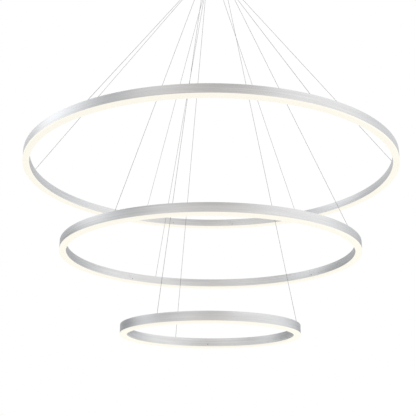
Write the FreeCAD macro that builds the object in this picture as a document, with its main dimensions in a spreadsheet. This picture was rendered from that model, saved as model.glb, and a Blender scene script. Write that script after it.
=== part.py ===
"""Pendant with three LED rings of brushed aluminium profile, hung on thin cables below one canopy.

Millimetres. The origin is the centre of the mounting plate's ceiling face, +Z points up and +X is to
the right of a viewer who looks along +Y. Everything hangs below z = 0.
"""
import FreeCAD, Part
import Sketcher
import math
import os

from FreeCAD import Placement, Rotation, Vector

UP = Vector(0, 0, 1)

SIZES = [
    # rings: outer diameter, and the drop from the ceiling to the metal's top face
    ("upper_diameter", 1200, "outer diameter of the upper ring"),
    ("middle_diameter", 940, "outer diameter of the middle ring"),
    ("lower_diameter", 550, "outer diameter of the lower ring"),
    ("upper_drop", 770, "ceiling to the top face of the upper ring"),
    ("middle_drop", 1043, "ceiling to the top face of the middle ring"),
    ("lower_drop", 1290, "ceiling to the top face of the lower ring"),
    ("upper_cable_count", 6, "cables of the upper ring"),
    ("middle_cable_count", 3, "cables of the middle ring"),
    ("lower_cable_count", 3, "cables of the lower ring"),
    ("first_cable_angle", -124, "direction of each ring's first cable, in degrees from +X"),
    # ring profile, seen in section
    ("profile_width", 20, "radial width of the profile and of the diffuser"),
    ("profile_height", 26.5, "height of the metal"),
    ("profile_wall", 1.5, "side walls"),
    ("top_wall", 2, "top wall, which the anchors hang from"),
    ("shelf_height", 15, "underside of the inner shelf above the metal's lower edge"),
    ("shelf_thickness", 1.5, "inner shelf, which carries the LED board"),
    ("rib_height", 2, "underside of the snap ribs above the metal's lower edge"),
    ("rib_thickness", 1, "snap ribs"),
    ("rib_reach", 0.5, "how far the snap ribs stand out of the walls"),
    # diffuser
    ("diffuser_drop", 5.5, "how far the diffuser stands below the metal"),
    ("diffuser_skin", 2, "lit face of the diffuser"),
    ("leg_gap", 0.8, "space between a diffuser leg and the wall"),
    ("leg_thickness", 1.2, "diffuser legs"),
    ("leg_height", 5, "diffuser legs above the metal's lower edge"),
    ("hook_reach", 0.5, "hooks on the legs, which catch behind the ribs"),
    ("hook_height", 1.2, "hooks, measured upwards"),
    ("snap_gap", 0.2, "hook above rib"),
    # LED board
    ("board_width", 12, "LED board"),
    ("board_thickness", 1, "LED board"),
    ("led_pitch", 33, "spacing of the light sources along the board"),
    ("led_length", 5, "light source"),
    ("led_height", 1.2, "light source"),
    # butt joints of the rolled profile, with the dark screws low on the inner wall
    ("joint_seam", 0.2, "gap between the profile's ends"),
    ("joint_plate_length", 40, "joint plate along the ring"),
    ("joint_plate_height", 3.2, "joint plate"),
    ("joint_plate_thickness", 1.5, "joint plate"),
    ("joint_plate_base", 5.2, "joint plate's lower edge above the metal's lower edge"),
    ("joint_screw_offset", 8, "joint screw beside its seam, along the ring"),
    ("joint_screw_radius", 1, "joint screw"),
    ("joint_head_radius", 1.3, "head of the joint screw"),
    ("joint_head_height", 0.5, "head of the joint screw"),
    ("seat_gap", 0.02, "flat head on a curved wall"),
    # cables and their anchors on the rings
    ("cable_radius", 0.6, "plastic-coated steel cable"),
    ("cable_gap", 0.2, "radial space round a cable in its bores"),
    ("cable_bend", 6, "radius of a cable's bend at its anchor and at its gripper"),
    ("cable_bend_rise", 2.4, "corner of that bend beyond the anchor or the plunger"),
    ("anchor_height", 2.5, "anchor above the ring"),
    ("anchor_radius", 2.6, "anchor's barrel"),
    ("anchor_tip_radius", 1.5, "anchor's tapered tip"),
    ("anchor_taper", 0.8, "height of that taper"),
    ("anchor_flange_radius", 3.6, "anchor's flange on the ring"),
    ("anchor_flange_height", 1.2, "anchor's flange on the ring"),
    ("anchor_shank_radius", 2.5, "anchor's thread"),
    ("anchor_shank_length", 6, "anchor's thread below the ring's top face"),
    ("hole_gap", 0.1, "radial clearance of a screw's hole"),
    ("cut_margin", 2, "how far a cut is drawn past the metal"),
    ("anchor_nut_flats", 8, "anchor nut across its flats"),
    ("anchor_nut_height", 2.7, "anchor nut"),
    ("stop_radius", 1.6, "stop swaged on the cable's end"),
    ("stop_length", 4, "stop swaged on the cable's end"),
    ("swage_gap", 0.02, "stop on its cable"),
    ("lead_radius", 0.6, "single lead"),
    ("lead_hole_gap", 0.6, "radial clearance of a lead's hole in the shelf"),
    # canopy
    ("canopy_radius", 110, "outside of the canopy"),
    ("canopy_height", 48, "ceiling to the canopy's underside"),
    ("canopy_sheet", 1.2, "steel sheet"),
    ("canopy_corner", 4, "outer radius of the canopy's lower corner"),
    ("ceiling_gap", 0.5, "canopy's rim below the ceiling"),
    # mounting plate
    ("plate_radius", 107.5, "mounting plate"),
    ("plate_thickness", 2, "mounting plate"),
    ("tab_width", 16, "side tabs of the mounting plate"),
    ("tab_depth", 16, "side tabs below the plate"),
    ("tab_thickness", 2, "side tabs"),
    ("tab_angle", -90, "direction of the first tab"),
    ("third", 3, "tabs, ceiling screws and drivers"),
    ("ceiling_circle", 90, "radius of the circle of ceiling screw holes"),
    ("ceiling_hole_radius", 2.75, "ceiling screw hole"),
    ("side_screw_radius", 2, "canopy screw"),
    ("side_screw_length", 9, "canopy screw below its head"),
    ("side_screw_level", 11, "canopy screw below the ceiling"),
    ("side_head_radius", 3.6, "head of the canopy screw"),
    ("side_head_height", 2.2, "head of the canopy screw"),
    ("side_head_edge", 0.8, "rounded edge of that head"),
    ("thread_gap", 0.02, "radial clearance in a tapped hole"),
    # supply entry, terminals and earth
    ("entry_radius", 7, "supply hole in the mounting plate"),
    ("entry_offset", 11, "supply hole from the axis, away from the terminal block"),
    ("bush_bore", 4.5, "bore of the entry bush, for the supply cable"),
    ("bush_flange_radius", 9.5, "flange of the entry bush"),
    ("bush_flange_height", 2, "flange of the entry bush"),
    ("block_length", 40, "terminal block"),
    ("block_width", 16, "terminal block"),
    ("block_height", 14, "terminal block"),
    ("block_offset", 24, "terminal block's middle from the axis"),
    ("pole_count", 4, "terminal block"),
    ("pole_pitch", 10, "terminal block"),
    ("wire_hole_rise", 1, "wire holes above the middle of the terminal block"),
    ("supply_lead_radius", 1.4, "supply lead"),
    ("driver_entry", 30, "supply lead's way into a driver, from the driver's middle"),
    ("driver_run", 12, "straight run of a supply lead before a driver"),
    ("stud_run", 7, "straight run of the earth lead before its stud"),
    ("exit_spread", 22, "output leads from a driver's middle"),
    ("terminal_hole_radius", 1.7, "screw and wire holes of the terminal block"),
    ("terminal_hole_depth", 5, "screw and wire holes of the terminal block"),
    ("terminal_screw_radius", 1.6, "terminal screw"),
    ("terminal_screw_length", 4, "terminal screw"),
    ("terminal_screw_inset", 4, "terminal screw from the block's long side"),
    ("earth_offset", 26, "earth stud from the axis"),
    ("earth_flats", 7, "earth stud across its flats"),
    ("earth_height", 9, "earth stud below the plate"),
    # drivers
    ("driver_circle", 60, "middle of each driver from the axis"),
    ("driver_width", 38, "driver case, radially"),
    ("driver_length", 88, "driver case"),
    ("driver_height", 20, "driver case"),
    ("driver_wall", 1.5, "driver case"),
    ("ear_length", 8, "screw ears at the case's ends"),
    ("ear_width", 14, "screw ears"),
    ("ear_thickness", 2.5, "screw ears"),
    ("driver_screw_radius", 1.5, "driver screw"),
    ("driver_head_radius", 2.8, "head of the driver screw"),
    ("driver_head_height", 1.8, "head of the driver screw"),
    ("circuit_board_thickness", 1.6, "circuit board in the driver"),
    ("circuit_board_gap", 0.3, "circuit board inside its case"),
    ("circuit_board_depth", 5, "top of the circuit board below the plate"),
    ("transformer_length", 22, "transformer on the circuit board"),
    ("transformer_width", 20, "transformer on the circuit board"),
    ("transformer_height", 10, "transformer on the circuit board"),
    ("capacitor_radius", 5, "capacitor on the circuit board"),
    ("capacitor_offset", 28, "capacitors from the board's middle"),
    # grippers: one for each cable, in three rows below the canopy's floor
    ("upper_row", 74, "radius of the circle of the upper ring's grippers"),
    ("middle_row", 62, "radius of the circle of the middle ring's grippers"),
    ("lower_row", 50, "radius of the circle of the lower ring's grippers"),
    ("shank_radius", 3, "gripper's thread through the canopy's floor"),
    ("shank_length", 8, "gripper's thread above the canopy's underside"),
    ("gripper_nut_flats", 10, "gripper nut across its flats"),
    ("gripper_nut_height", 3.2, "gripper nut"),
    ("gripper_flange_radius", 5.25, "gripper's flange below the canopy"),
    ("gripper_flange_height", 3, "gripper's flange"),
    ("gripper_radius", 4.5, "gripper's barrel"),
    ("gripper_length", 36, "gripper below the canopy"),
    ("gripper_chamfer", 1, "lower edge of the gripper's barrel"),
    ("cavity_radius", 3, "spring's cavity in the gripper"),
    ("cavity_top", 10, "top of the cavity below the canopy"),
    ("cone_top", 20, "top of the gripping cone below the canopy"),
    ("cone_bottom", 32, "bottom of the gripping cone, where the plunger's head rests"),
    ("cone_radius", 2.05, "cone at its bottom"),
    ("nose_radius", 1.7, "plunger's nose"),
    ("nose_gap", 0.05, "plunger's nose in the barrel"),
    ("nose_length", 8, "plunger's nose below its head"),
    ("head_radius", 1.97, "plunger's head"),
    ("head_height", 7, "plunger's head"),
    ("press_travel", 3, "how far a plunger is pressed in"),
    ("ball_radius", 0.8, "steel balls in the plunger's head"),
    ("ball_gap", 0.02, "ball beside its cable"),
    ("ball_hole_gap", 0.05, "ball in its hole"),
    ("ball_level", 2.6, "balls above the head's lower face"),
    ("ball_count", 3, "balls in each plunger"),
    ("spring_outer", 1.85, "outer radius of the gripper spring"),
    ("spring_inner", 1.35, "inner radius of the gripper spring"),
    ("tail_height", 4, "cable's end above the gripper's thread"),
]

RINGS = ["upper", "middle", "lower"]

# Directions of the dark joint screws, in degrees from +X. Each butt joint is beside its screw.
JOINT_SCREWS = {"upper": [81.5, 104.8], "middle": [38.2, 128.6], "lower": [91.8]}

# The two cables of each ring that carry its supply, counted from the first one.
LIVE_CABLES = {"upper": [3, 4], "middle": [2, 0], "lower": [0, 2]}

# Direction of the driver of each ring, in degrees from +X.
DRIVER_ANGLES = {"upper": 90, "middle": 330, "lower": 210}

doc = FreeCAD.newDocument("led_ring_chandelier")
sheet = doc.addObject("Spreadsheet::Sheet", "sizes")
nodes = {}


# ---------------------------------------------------------------- the sheet of sizes and its use

def fill_sheet():
    for row, (alias, value, note) in enumerate(SIZES, start=1):
        sheet.set(f"A{row}", alias)
        sheet.set(f"B{row}", str(value))
        sheet.set(f"C{row}", note)
        sheet.setAlias(f"B{row}", alias)
    doc.recompute()


def size(alias):
    return float(getattr(sheet, alias))


def count(alias):
    return int(round(size(alias)))


def linked(expression):
    """An expression in which each word stands for a cell of the sheet."""
    words = []
    word = ""
    for letter in expression + " ":
        if letter.isalpha() or letter == "_":
            word += letter
            continue
        if word:
            words.append(word if word in ("cos", "sin") else "sizes." + word)
        word = ""
        words.append(letter)
    return "".join(words).strip()


def bind(thing, name, expression):
    thing.setExpression(name, linked(expression))


# ---------------------------------------------------------------- small makers shared by the pieces

def keep(piece, name):
    """Names a finished piece: its label is the name of its node."""
    piece.Label = name
    nodes[name] = piece
    return piece


def new_body(name):
    return doc.addObject("PartDesign::Body", name)


def plane(body, role):
    for feature in body.Origin.OriginFeatures:
        if feature.Role == role:
            return feature
    raise ValueError("no plane " + role)


def new_sketch(body, name, role, level="0"):
    sketch = body.newObject("Sketcher::SketchObject", name)
    sketch.AttachmentSupport = (plane(body, role), [""])
    sketch.MapMode = "FlatFace"
    if level != "0":
        bind(sketch, ".AttachmentOffset.Base.z", level)
    return sketch


def place_point(sketch, item, end, across, along):
    """Ties one point of a sketch to two expressions, measured from the sketch's origin."""
    for kind, expression in (("DistanceX", across), ("DistanceY", along)):
        index = sketch.addConstraint(Sketcher.Constraint(kind, -1, 1, item, end, 1.0))
        bind(sketch, f"Constraints[{index}]", expression)


def polygon(sketch, corners):
    """A closed outline whose corners are pairs of expressions."""
    last = len(corners) - 1
    points = [Vector(evaluate(across), evaluate(along), 0) for across, along in corners]
    first = sketch.GeometryCount
    for index, point in enumerate(points):
        following = points[0] if index == last else points[index + 1]
        sketch.addGeometry(Part.LineSegment(point, following), False)
    for index in range(len(corners)):
        following = first if index == last else first + index + 1
        sketch.addConstraint(Sketcher.Constraint("Coincident", first + index, 2, following, 1))
    for index, (across, along) in enumerate(corners):
        place_point(sketch, first + index, 1, across, along)


def circle(sketch, across, along, radius):
    middle = Vector(evaluate(across), evaluate(along), 0)
    item = sketch.addGeometry(Part.Circle(middle, UP, evaluate(radius)), False)
    index = sketch.addConstraint(Sketcher.Constraint("Radius", item, evaluate(radius)))
    bind(sketch, f"Constraints[{index}]", radius)
    place_point(sketch, item, 3, across, along)


def evaluate(expression):
    """The present value of an expression, for the first drawing of a sketch."""
    return float(sheet.evalExpression(linked(expression).replace("sizes.", "")))


def revolved(name, outlines):
    """A body turned about Z from outlines of (radius, height) expressions."""
    body = new_body(name)
    sketch = new_sketch(body, name + "_section", "XZ_Plane")
    for corners in outlines:
        polygon(sketch, corners)
    turn = body.newObject("PartDesign::Revolution", name + "_turn")
    turn.Profile = sketch
    turn.ReferenceAxis = (sketch, ["V_Axis"])
    turn.Angle = 360
    doc.recompute()
    return body


def padded(body, name, corners, level, height, downwards=True):
    """A straight pad from an outline of (x, y) expressions at one level."""
    sketch = new_sketch(body, name + "_outline", "XY_Plane", level)
    polygon(sketch, corners)
    pad = body.newObject("PartDesign::Pad", name)
    pad.Profile = sketch
    bind(pad, "Length", height)
    pad.Reversed = downwards
    doc.recompute()
    return pad


def repeat(body, feature, sketch, copies, axis):
    """Repeats a feature round the Z axis of its body."""
    pattern = body.newObject("PartDesign::PolarPattern", feature.Name + "_pattern")
    pattern.Originals = [feature]
    pattern.Axis = (sketch, [axis])
    pattern.Angle = 360
    bind(pattern, "Occurrences", copies)
    body.Tip = pattern
    doc.recompute()


def pocket(body, name, sketch, depth, reverse=False):
    """Cuts a sketch out of a body, and makes sure that something was cut."""
    before = body.Shape.Volume
    cut = body.newObject("PartDesign::Pocket", name)
    cut.Profile = sketch
    bind(cut, "Length", depth)
    cut.Reversed = reverse
    doc.recompute()
    if body.Shape.Volume >= before:
        raise ValueError(name + " cuts nothing")
    return cut


def holes_down(body, name, hole_radius, circle_radius, angle, copies, level, depth):
    """Round holes, cut downwards from one level, evenly spaced on a circle."""
    sketch = new_sketch(body, name + "_sketch", "XY_Plane", level)
    across = f"({circle_radius}) * cos({angle})"
    along = f"({circle_radius}) * sin({angle})"
    circle(sketch, across, along, hole_radius)
    cut = pocket(body, name, sketch, depth)
    if copies != "1":
        repeat(body, cut, sketch, copies, "N_Axis")


def holes_outwards(body, name, hole_radius, level, copies, depth):
    """Round holes from the axis outwards, the first one towards -Y."""
    sketch = new_sketch(body, name + "_sketch", "XZ_Plane")
    circle(sketch, "0", level, hole_radius)
    cut = pocket(body, name, sketch, depth, reverse=True)
    repeat(body, cut, sketch, copies, "V_Axis")


def group(name, shapes):
    """Separate like solids that share one node."""
    piece = doc.addObject("Part::Feature", name)
    piece.Shape = Part.makeCompound(shapes)
    piece.Placement = Placement()
    return keep(piece, name)


def moved(shape, placement):
    copy = shape.copy()
    copy.Placement = placement.multiply(copy.Placement)
    return copy


def on_circle(radius, angle, height):
    """A place on a circle about Z, turned so that its own +X points outwards."""
    turn = Rotation(UP, angle)
    return Placement(turn.multVec(Vector(radius, 0, 0)) + Vector(0, 0, height), turn)


def tube(points, radius, bend=None):
    """A round bar along straight runs that are joined by tangent arcs."""
    edges = []
    start = points[0]
    for before, corner, after in zip(points, points[1:], points[2:]):
        back = (before - corner).normalize()
        ahead = (after - corner).normalize()
        half_turn = (math.pi - back.getAngle(ahead)) / 2
        shorter = min((before - corner).Length, (after - corner).Length)
        arc_radius = bend if bend else 0.45 * shorter / math.tan(half_turn)
        reach = arc_radius * math.tan(half_turn)
        sag = arc_radius / math.cos(half_turn) - arc_radius
        arc_start = corner + back * reach
        arc_end = corner + ahead * reach
        middle = corner + (back + ahead).normalize() * sag
        edges.append(Part.LineSegment(start, arc_start).toShape())
        edges.append(Part.Arc(arc_start, middle, arc_end).toShape())
        start = arc_end
    edges.append(Part.LineSegment(start, points[-1]).toShape())
    path = Part.Wire(edges)
    section = Part.Wire(Part.Circle(points[0], points[1] - points[0], radius).toShape())
    bar = path.makePipeShell([section], True, False)
    expected = math.pi * radius ** 2 * path.Length
    if abs(bar.Volume - expected) > 0.01 * expected:
        raise ValueError("a tube's volume isn't its section times its length")
    return bar, path.Length


def hexagon(flats, height, bore):
    """A nut that stands on z = 0."""
    corner = flats / math.sqrt(3)
    points = [on_circle(corner, 60 * side, 0).Base for side in range(7)]
    blank = Part.Face(Part.makePolygon(points)).extrude(Vector(0, 0, height))
    if bore:
        blank = blank.cut(Part.makeCylinder(bore, height))
    return blank


# ---------------------------------------------------------------- where things are

def ring_radius(ring):
    return size(ring + "_diameter") / 2


def middle_radius(ring):
    """The middle of the profile, where the cables are anchored."""
    return ring_radius(ring) - size("profile_width") / 2


def top_level(ring):
    return -size(ring + "_drop")


def lower_edge(ring):
    return top_level(ring) - size("profile_height")


def cable_angle(ring, cable):
    return size("first_cable_angle") + 360 / count(ring + "_cable_count") * cable


def cable_angles(ring):
    return [cable_angle(ring, cable) for cable in range(count(ring + "_cable_count"))]


def gripper_places():
    """(ring, number, radius, angle) of each gripper, outer row first."""
    for ring in RINGS:
        for number, angle in enumerate(cable_angles(ring), start=1):
            yield ring, number, size(ring + "_row"), angle


def mouth_level():
    """Where the cables bend below the plungers."""
    plunger_end = size("canopy_height") + size("cone_bottom") + size("nose_length")
    return -plunger_end - size("cable_bend_rise")


def tail_level():
    return -size("canopy_height") + size("shank_length") + size("tail_height")


# ---------------------------------------------------------------- the rings

def housing(ring):
    """Rolled profile: a box section above the shelf, an open channel with snap ribs below it."""
    outside = f"{ring}_diameter / 2"
    inside = f"{outside} - profile_width"
    outer_wall = f"{outside} - profile_wall"
    inner_wall = f"{inside} + profile_wall"
    outer_rib = f"{outer_wall} - rib_reach"
    inner_rib = f"{inner_wall} + rib_reach"
    rib_top = "rib_height + rib_thickness"
    section = [
        (outside, "0"), (outside, "profile_height"), (inside, "profile_height"), (inside, "0"),
        (inner_wall, "0"), (inner_wall, "rib_height"), (inner_rib, "rib_height"),
        (inner_rib, rib_top), (inner_wall, rib_top), (inner_wall, "shelf_height"),
        (outer_wall, "shelf_height"), (outer_wall, rib_top), (outer_rib, rib_top),
        (outer_rib, "rib_height"), (outer_wall, "rib_height"), (outer_wall, "0"),
    ]
    shelf_top = "shelf_height + shelf_thickness"
    ceiling = "profile_height - top_wall"
    chamber = [
        (outer_wall, shelf_top), (outer_wall, ceiling), (inner_wall, ceiling), (inner_wall, shelf_top),
    ]
    body = revolved(ring + "_profile", [section, chamber])
    middle = f"{outside} - profile_width / 2"
    holes_down(body, ring + "_anchor_holes", "anchor_shank_radius + hole_gap", middle,
               "first_cable_angle", ring + "_cable_count", "profile_height", "top_wall")
    for number, cable in enumerate(LIVE_CABLES[ring], start=1):
        angle = f"first_cable_angle + 360 / {ring}_cable_count * {cable}"
        holes_down(body, f"{ring}_lead_hole_{number}", "lead_radius + lead_hole_gap", middle,
                   angle, "1", shelf_top, "shelf_thickness")
    bind(body, ".Placement.Base.z", f"-{ring}_drop - profile_height")
    cuts = doc.addObject("Part::Compound", ring + "_joint_cuts")
    cuts.Links = [seam(ring, number) for number in range(len(JOINT_SCREWS[ring]))]
    cuts.Links += [joint_hole(ring, number) for number in range(len(JOINT_SCREWS[ring]))]
    shell = doc.addObject("Part::Cut", ring + "_housing")
    shell.Base = body
    shell.Tool = cuts
    return keep(shell, ring + "_housing")


def seam_angle(ring, number):
    inside = ring_radius(ring) - size("profile_width")
    return JOINT_SCREWS[ring][number] + math.degrees(size("joint_screw_offset") / inside)


def seam(ring, number):
    """The slit between the profile's ends at one joint."""
    slit = doc.addObject("Part::Box", f"{ring}_seam_{number + 1}")
    bind(slit, "Length", "profile_width + 2 * cut_margin")
    bind(slit, "Width", "joint_seam")
    bind(slit, "Height", "profile_height + 2 * cut_margin")
    corner = Vector(ring_radius(ring) - size("profile_width") - size("cut_margin"),
                    -size("joint_seam") / 2, lower_edge(ring) - size("cut_margin"))
    turn = Rotation(UP, seam_angle(ring, number))
    slit.Placement = Placement(turn.multVec(corner), turn)
    return slit


def joint_screw_place(ring, number):
    """The joint screw's axis on the inner wall's face, its own +Z pointing outwards."""
    inside = ring_radius(ring) - size("profile_width")
    level = lower_edge(ring) + size("joint_plate_base") + size("joint_plate_height") / 2
    turn = Rotation(UP, JOINT_SCREWS[ring][number])
    lay_down = Rotation(Vector(0, 1, 0), 90)
    return Placement(turn.multVec(Vector(inside, 0, level)), turn.multiply(lay_down))


def joint_hole(ring, number):
    hole = doc.addObject("Part::Cylinder", f"{ring}_joint_hole_{number + 1}")
    bind(hole, "Radius", "joint_screw_radius + hole_gap")
    bind(hole, "Height", "profile_wall + 2 * cut_margin")
    place = joint_screw_place(ring, number)
    hole.Placement = place.multiply(Placement(Vector(0, 0, -size("cut_margin")), Rotation()))
    return hole


def joint_plates(ring):
    """Curved plates behind the inner wall, each tapped for its joint's screw."""
    inner = ring_radius(ring) - size("profile_width") + size("profile_wall")
    outer = inner + size("joint_plate_thickness")
    span = math.degrees(size("joint_plate_length") / inner)
    base = lower_edge(ring) + size("joint_plate_base")
    plates = []
    for number in range(len(JOINT_SCREWS[ring])):
        edge = [Vector(inner, 0, base), Vector(outer, 0, base),
                Vector(outer, 0, base + size("joint_plate_height")),
                Vector(inner, 0, base + size("joint_plate_height")), Vector(inner, 0, base)]
        plate = Part.Face(Part.makePolygon(edge)).revolve(Vector(), UP, span)
        plate.rotate(Vector(), UP, seam_angle(ring, number) - span / 2)
        hole = Part.makeCylinder(size("joint_screw_radius") + size("thread_gap"),
                                 size("profile_wall") + size("joint_plate_thickness") + size("cut_margin"))
        plates.append(plate.cut(moved(hole, joint_screw_place(ring, number))))
    return group(ring + "_joint_plates", plates)


def joint_screws(ring):
    length = size("profile_wall") + size("joint_plate_thickness") + size("seat_gap")
    screw = Part.makeCylinder(size("joint_screw_radius"), length, Vector(0, 0, -size("seat_gap")))
    head = Part.makeCylinder(size("joint_head_radius"), size("joint_head_height"),
                             Vector(0, 0, -size("joint_head_height") - size("seat_gap")))
    screw = screw.fuse(head).removeSplitter()
    places = [joint_screw_place(ring, number) for number in range(len(JOINT_SCREWS[ring]))]
    return group(ring + "_joint_screws", [moved(screw, place) for place in places])


def diffuser(ring):
    """Opal strip: a shallow trough as wide as the profile, with two hooked legs inside the walls."""
    outside = f"{ring}_diameter / 2"
    inside = f"{outside} - profile_width"
    outer_leg = f"{outside} - profile_wall - leg_gap"
    inner_leg = f"{inside} + profile_wall + leg_gap"
    outer_face = f"{outer_leg} - leg_thickness"
    inner_face = f"{inner_leg} + leg_thickness"
    hook_base = "rib_height + rib_thickness + snap_gap"
    hook_top = "rib_height + rib_thickness + snap_gap + hook_height"
    floor = "diffuser_skin - diffuser_drop"
    section = [
        (inside, "-diffuser_drop"), (outside, "-diffuser_drop"), (outside, "0"), (outer_leg, "0"),
        (outer_leg, hook_base), (f"{outer_leg} + hook_reach", hook_base), (outer_leg, hook_top),
        (outer_leg, "leg_height"), (outer_face, "leg_height"), (outer_face, floor),
        (inner_face, floor), (inner_face, "leg_height"), (inner_leg, "leg_height"),
        (inner_leg, hook_top), (f"{inner_leg} - hook_reach", hook_base), (inner_leg, hook_base),
        (inner_leg, "0"), (inside, "0"),
    ]
    body = revolved(ring + "_diffuser", [section])
    bind(body, ".Placement.Base.z", f"-{ring}_drop - profile_height")
    return keep(body, ring + "_diffuser")


def led_board(ring):
    middle = f"{ring}_diameter / 2 - profile_width / 2"
    outer, inner = f"{middle} + board_width / 2", f"{middle} - board_width / 2"
    bottom = "shelf_height - board_thickness"
    section = [(inner, bottom), (outer, bottom), (outer, "shelf_height"), (inner, "shelf_height")]
    body = revolved(ring + "_led_board", [section])
    bind(body, ".Placement.Base.z", f"-{ring}_drop - profile_height")
    return keep(body, ring + "_led_board")


def leds(ring):
    side, height = size("led_length"), size("led_height")
    level = lower_edge(ring) + size("shelf_height") - size("board_thickness") - height
    radius = middle_radius(ring)
    copies = int(2 * math.pi * radius / size("led_pitch"))
    package = Part.makeBox(side, side, height, Vector(-side / 2, -side / 2, 0))
    places = [on_circle(radius, 360 / copies * number, level) for number in range(copies)]
    return group(ring + "_leds", [moved(package, place) for place in places])


def anchor_master():
    """Threaded stud: barrel and flange above the ring, thread below its top face, one bore."""
    bore = "cable_radius + cable_gap"
    section = [
        (bore, "anchor_height"), ("anchor_tip_radius", "anchor_height"),
        ("anchor_radius", "anchor_height - anchor_taper"), ("anchor_radius", "anchor_flange_height"),
        ("anchor_flange_radius", "anchor_flange_height"), ("anchor_flange_radius", "0"),
        ("anchor_shank_radius", "0"), ("anchor_shank_radius", "-anchor_shank_length"),
        (bore, "-anchor_shank_length"),
    ]
    return revolved("anchor_master", [section]).Shape


def at_anchors(ring, name, shape, level):
    """One copy of a shape at each anchor of a ring."""
    places = [on_circle(middle_radius(ring), angle, level) for angle in cable_angles(ring)]
    return group(f"{ring}_{name}", [moved(shape, place) for place in places])


def anchor_nuts(ring):
    nut = hexagon(size("anchor_nut_flats"), size("anchor_nut_height"),
                  size("anchor_shank_radius") + size("thread_gap"))
    level = top_level(ring) - size("top_wall") - size("anchor_nut_height")
    return at_anchors(ring, "anchor_nuts", nut, level)


def stop_level(ring):
    return top_level(ring) - size("anchor_shank_length") - size("stop_length")


def cable_stops(ring):
    stop = Part.makeCylinder(size("stop_radius"), size("stop_length"))
    stop = stop.cut(Part.makeCylinder(size("cable_radius") + size("swage_gap"), size("stop_length")))
    return at_anchors(ring, "cable_stops", stop, stop_level(ring))


def board_leads(ring):
    """From the ends of the two live cables down through the shelf to the LED board."""
    board = lower_edge(ring) + size("shelf_height")
    lead = Part.makeCylinder(size("lead_radius"), stop_level(ring) - board)
    places = [on_circle(middle_radius(ring), cable_angle(ring, cable), board)
              for cable in LIVE_CABLES[ring]]
    return group(ring + "_board_leads", [moved(lead, place) for place in places])


def cables(ring):
    """Each cable runs from its stop up through the anchor, straight to its gripper and through it."""
    bend_level = top_level(ring) + size("anchor_height") + size("cable_bend_rise")
    bars = []
    for angle in cable_angles(ring):
        points = [
            on_circle(middle_radius(ring), angle, stop_level(ring)).Base,
            on_circle(middle_radius(ring), angle, bend_level).Base,
            on_circle(size(ring + "_row"), angle, mouth_level()).Base,
            on_circle(size(ring + "_row"), angle, tail_level()).Base,
        ]
        bar, length = tube(points, size("cable_radius"), size("cable_bend"))
        bars.append(bar)
    print(f"{ring} cables: {len(bars)} of {length:.0f} mm")
    return group(ring + "_cables", bars)


def make_ring(ring, anchor):
    housing(ring)
    diffuser(ring)
    led_board(ring)
    leds(ring)
    joint_plates(ring)
    joint_screws(ring)
    at_anchors(ring, "anchors", anchor, top_level(ring))
    anchor_nuts(ring)
    cable_stops(ring)
    board_leads(ring)
    cables(ring)


# ---------------------------------------------------------------- canopy and mounting plate

def canopy():
    """Round steel cup with a rounded lower corner, holes for the grippers and the side screws."""
    rim, floor = "-ceiling_gap", "canopy_sheet - canopy_height"
    wall = "canopy_radius - canopy_sheet"
    section = [
        ("0", "-canopy_height"), ("canopy_radius", "-canopy_height"), ("canopy_radius", rim),
        (wall, rim), (wall, floor), ("0", floor),
    ]
    body = revolved("canopy", [section])
    for name, level, radius in (("outer_corner", -size("canopy_height"), "canopy_corner"),
                                ("inner_corner", evaluate(floor), "canopy_corner - canopy_sheet")):
        round_corner(body, name, level, radius)
    for ring in RINGS:
        holes_down(body, ring + "_gripper_holes", "shank_radius + hole_gap", ring + "_row",
                   "first_cable_angle", ring + "_cable_count", floor, "canopy_sheet")
    holes_outwards(body, "side_holes", "side_screw_radius + hole_gap", "-side_screw_level", "third",
                   "canopy_radius + cut_margin")
    return keep(body, "canopy")


def round_corner(body, name, level, radius):
    """Rounds the widest circular edge at one level."""
    found = []
    finished = body.Tip
    for index, edge in enumerate(finished.Shape.Edges, start=1):
        if edge.Curve.TypeId == "Part::GeomCircle" and abs(edge.Curve.Center.z - level) < 0.001:
            found.append((edge.Curve.Radius, f"Edge{index}"))
    fillet = body.newObject("PartDesign::Fillet", name)
    fillet.Base = (finished, [max(found)[1]])
    bind(fillet, "Radius", radius)
    doc.recompute()


def mounting_plate():
    """Disc against the ceiling, with three tabs turned down inside the canopy's wall."""
    body = new_body("mounting_plate")
    outline = new_sketch(body, "plate_outline", "XY_Plane")
    circle(outline, "0", "0", "plate_radius")
    disc = body.newObject("PartDesign::Pad", "plate_disc")
    disc.Profile = outline
    bind(disc, "Length", "plate_thickness")
    disc.Reversed = True
    doc.recompute()
    outer, inner = "-plate_radius", "tab_thickness - plate_radius"
    left, right = "-tab_width / 2", "tab_width / 2"
    corners = [(left, outer), (right, outer), (right, inner), (left, inner)]
    tab = padded(body, "tab", corners, "-plate_thickness / 2", "plate_thickness / 2 + tab_depth")
    repeat(body, tab, tab.Profile[0], "third", "N_Axis")
    holes_outwards(body, "tab_holes", "side_screw_radius + thread_gap", "-side_screw_level", "third",
                   "plate_radius + cut_margin")
    holes_down(body, "ceiling_holes", "ceiling_hole_radius", "ceiling_circle", "tab_angle", "third",
               "0", "plate_thickness")
    holes_down(body, "entry_hole", "entry_radius", "entry_offset", "90", "1", "0", "plate_thickness")
    for name, sign in (("left", "-"), ("right", "")):
        reach = f"{sign}(driver_length / 2 + ear_length / 2)"
        sketch = new_sketch(body, name + "_driver_hole_sketch", "XY_Plane")
        circle(sketch, reach, "driver_circle", "driver_screw_radius + thread_gap")
        cut = pocket(body, name + "_driver_hole", sketch, "plate_thickness")
        repeat(body, cut, sketch, "third", "N_Axis")
    return keep(body, "mounting_plate")


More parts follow.
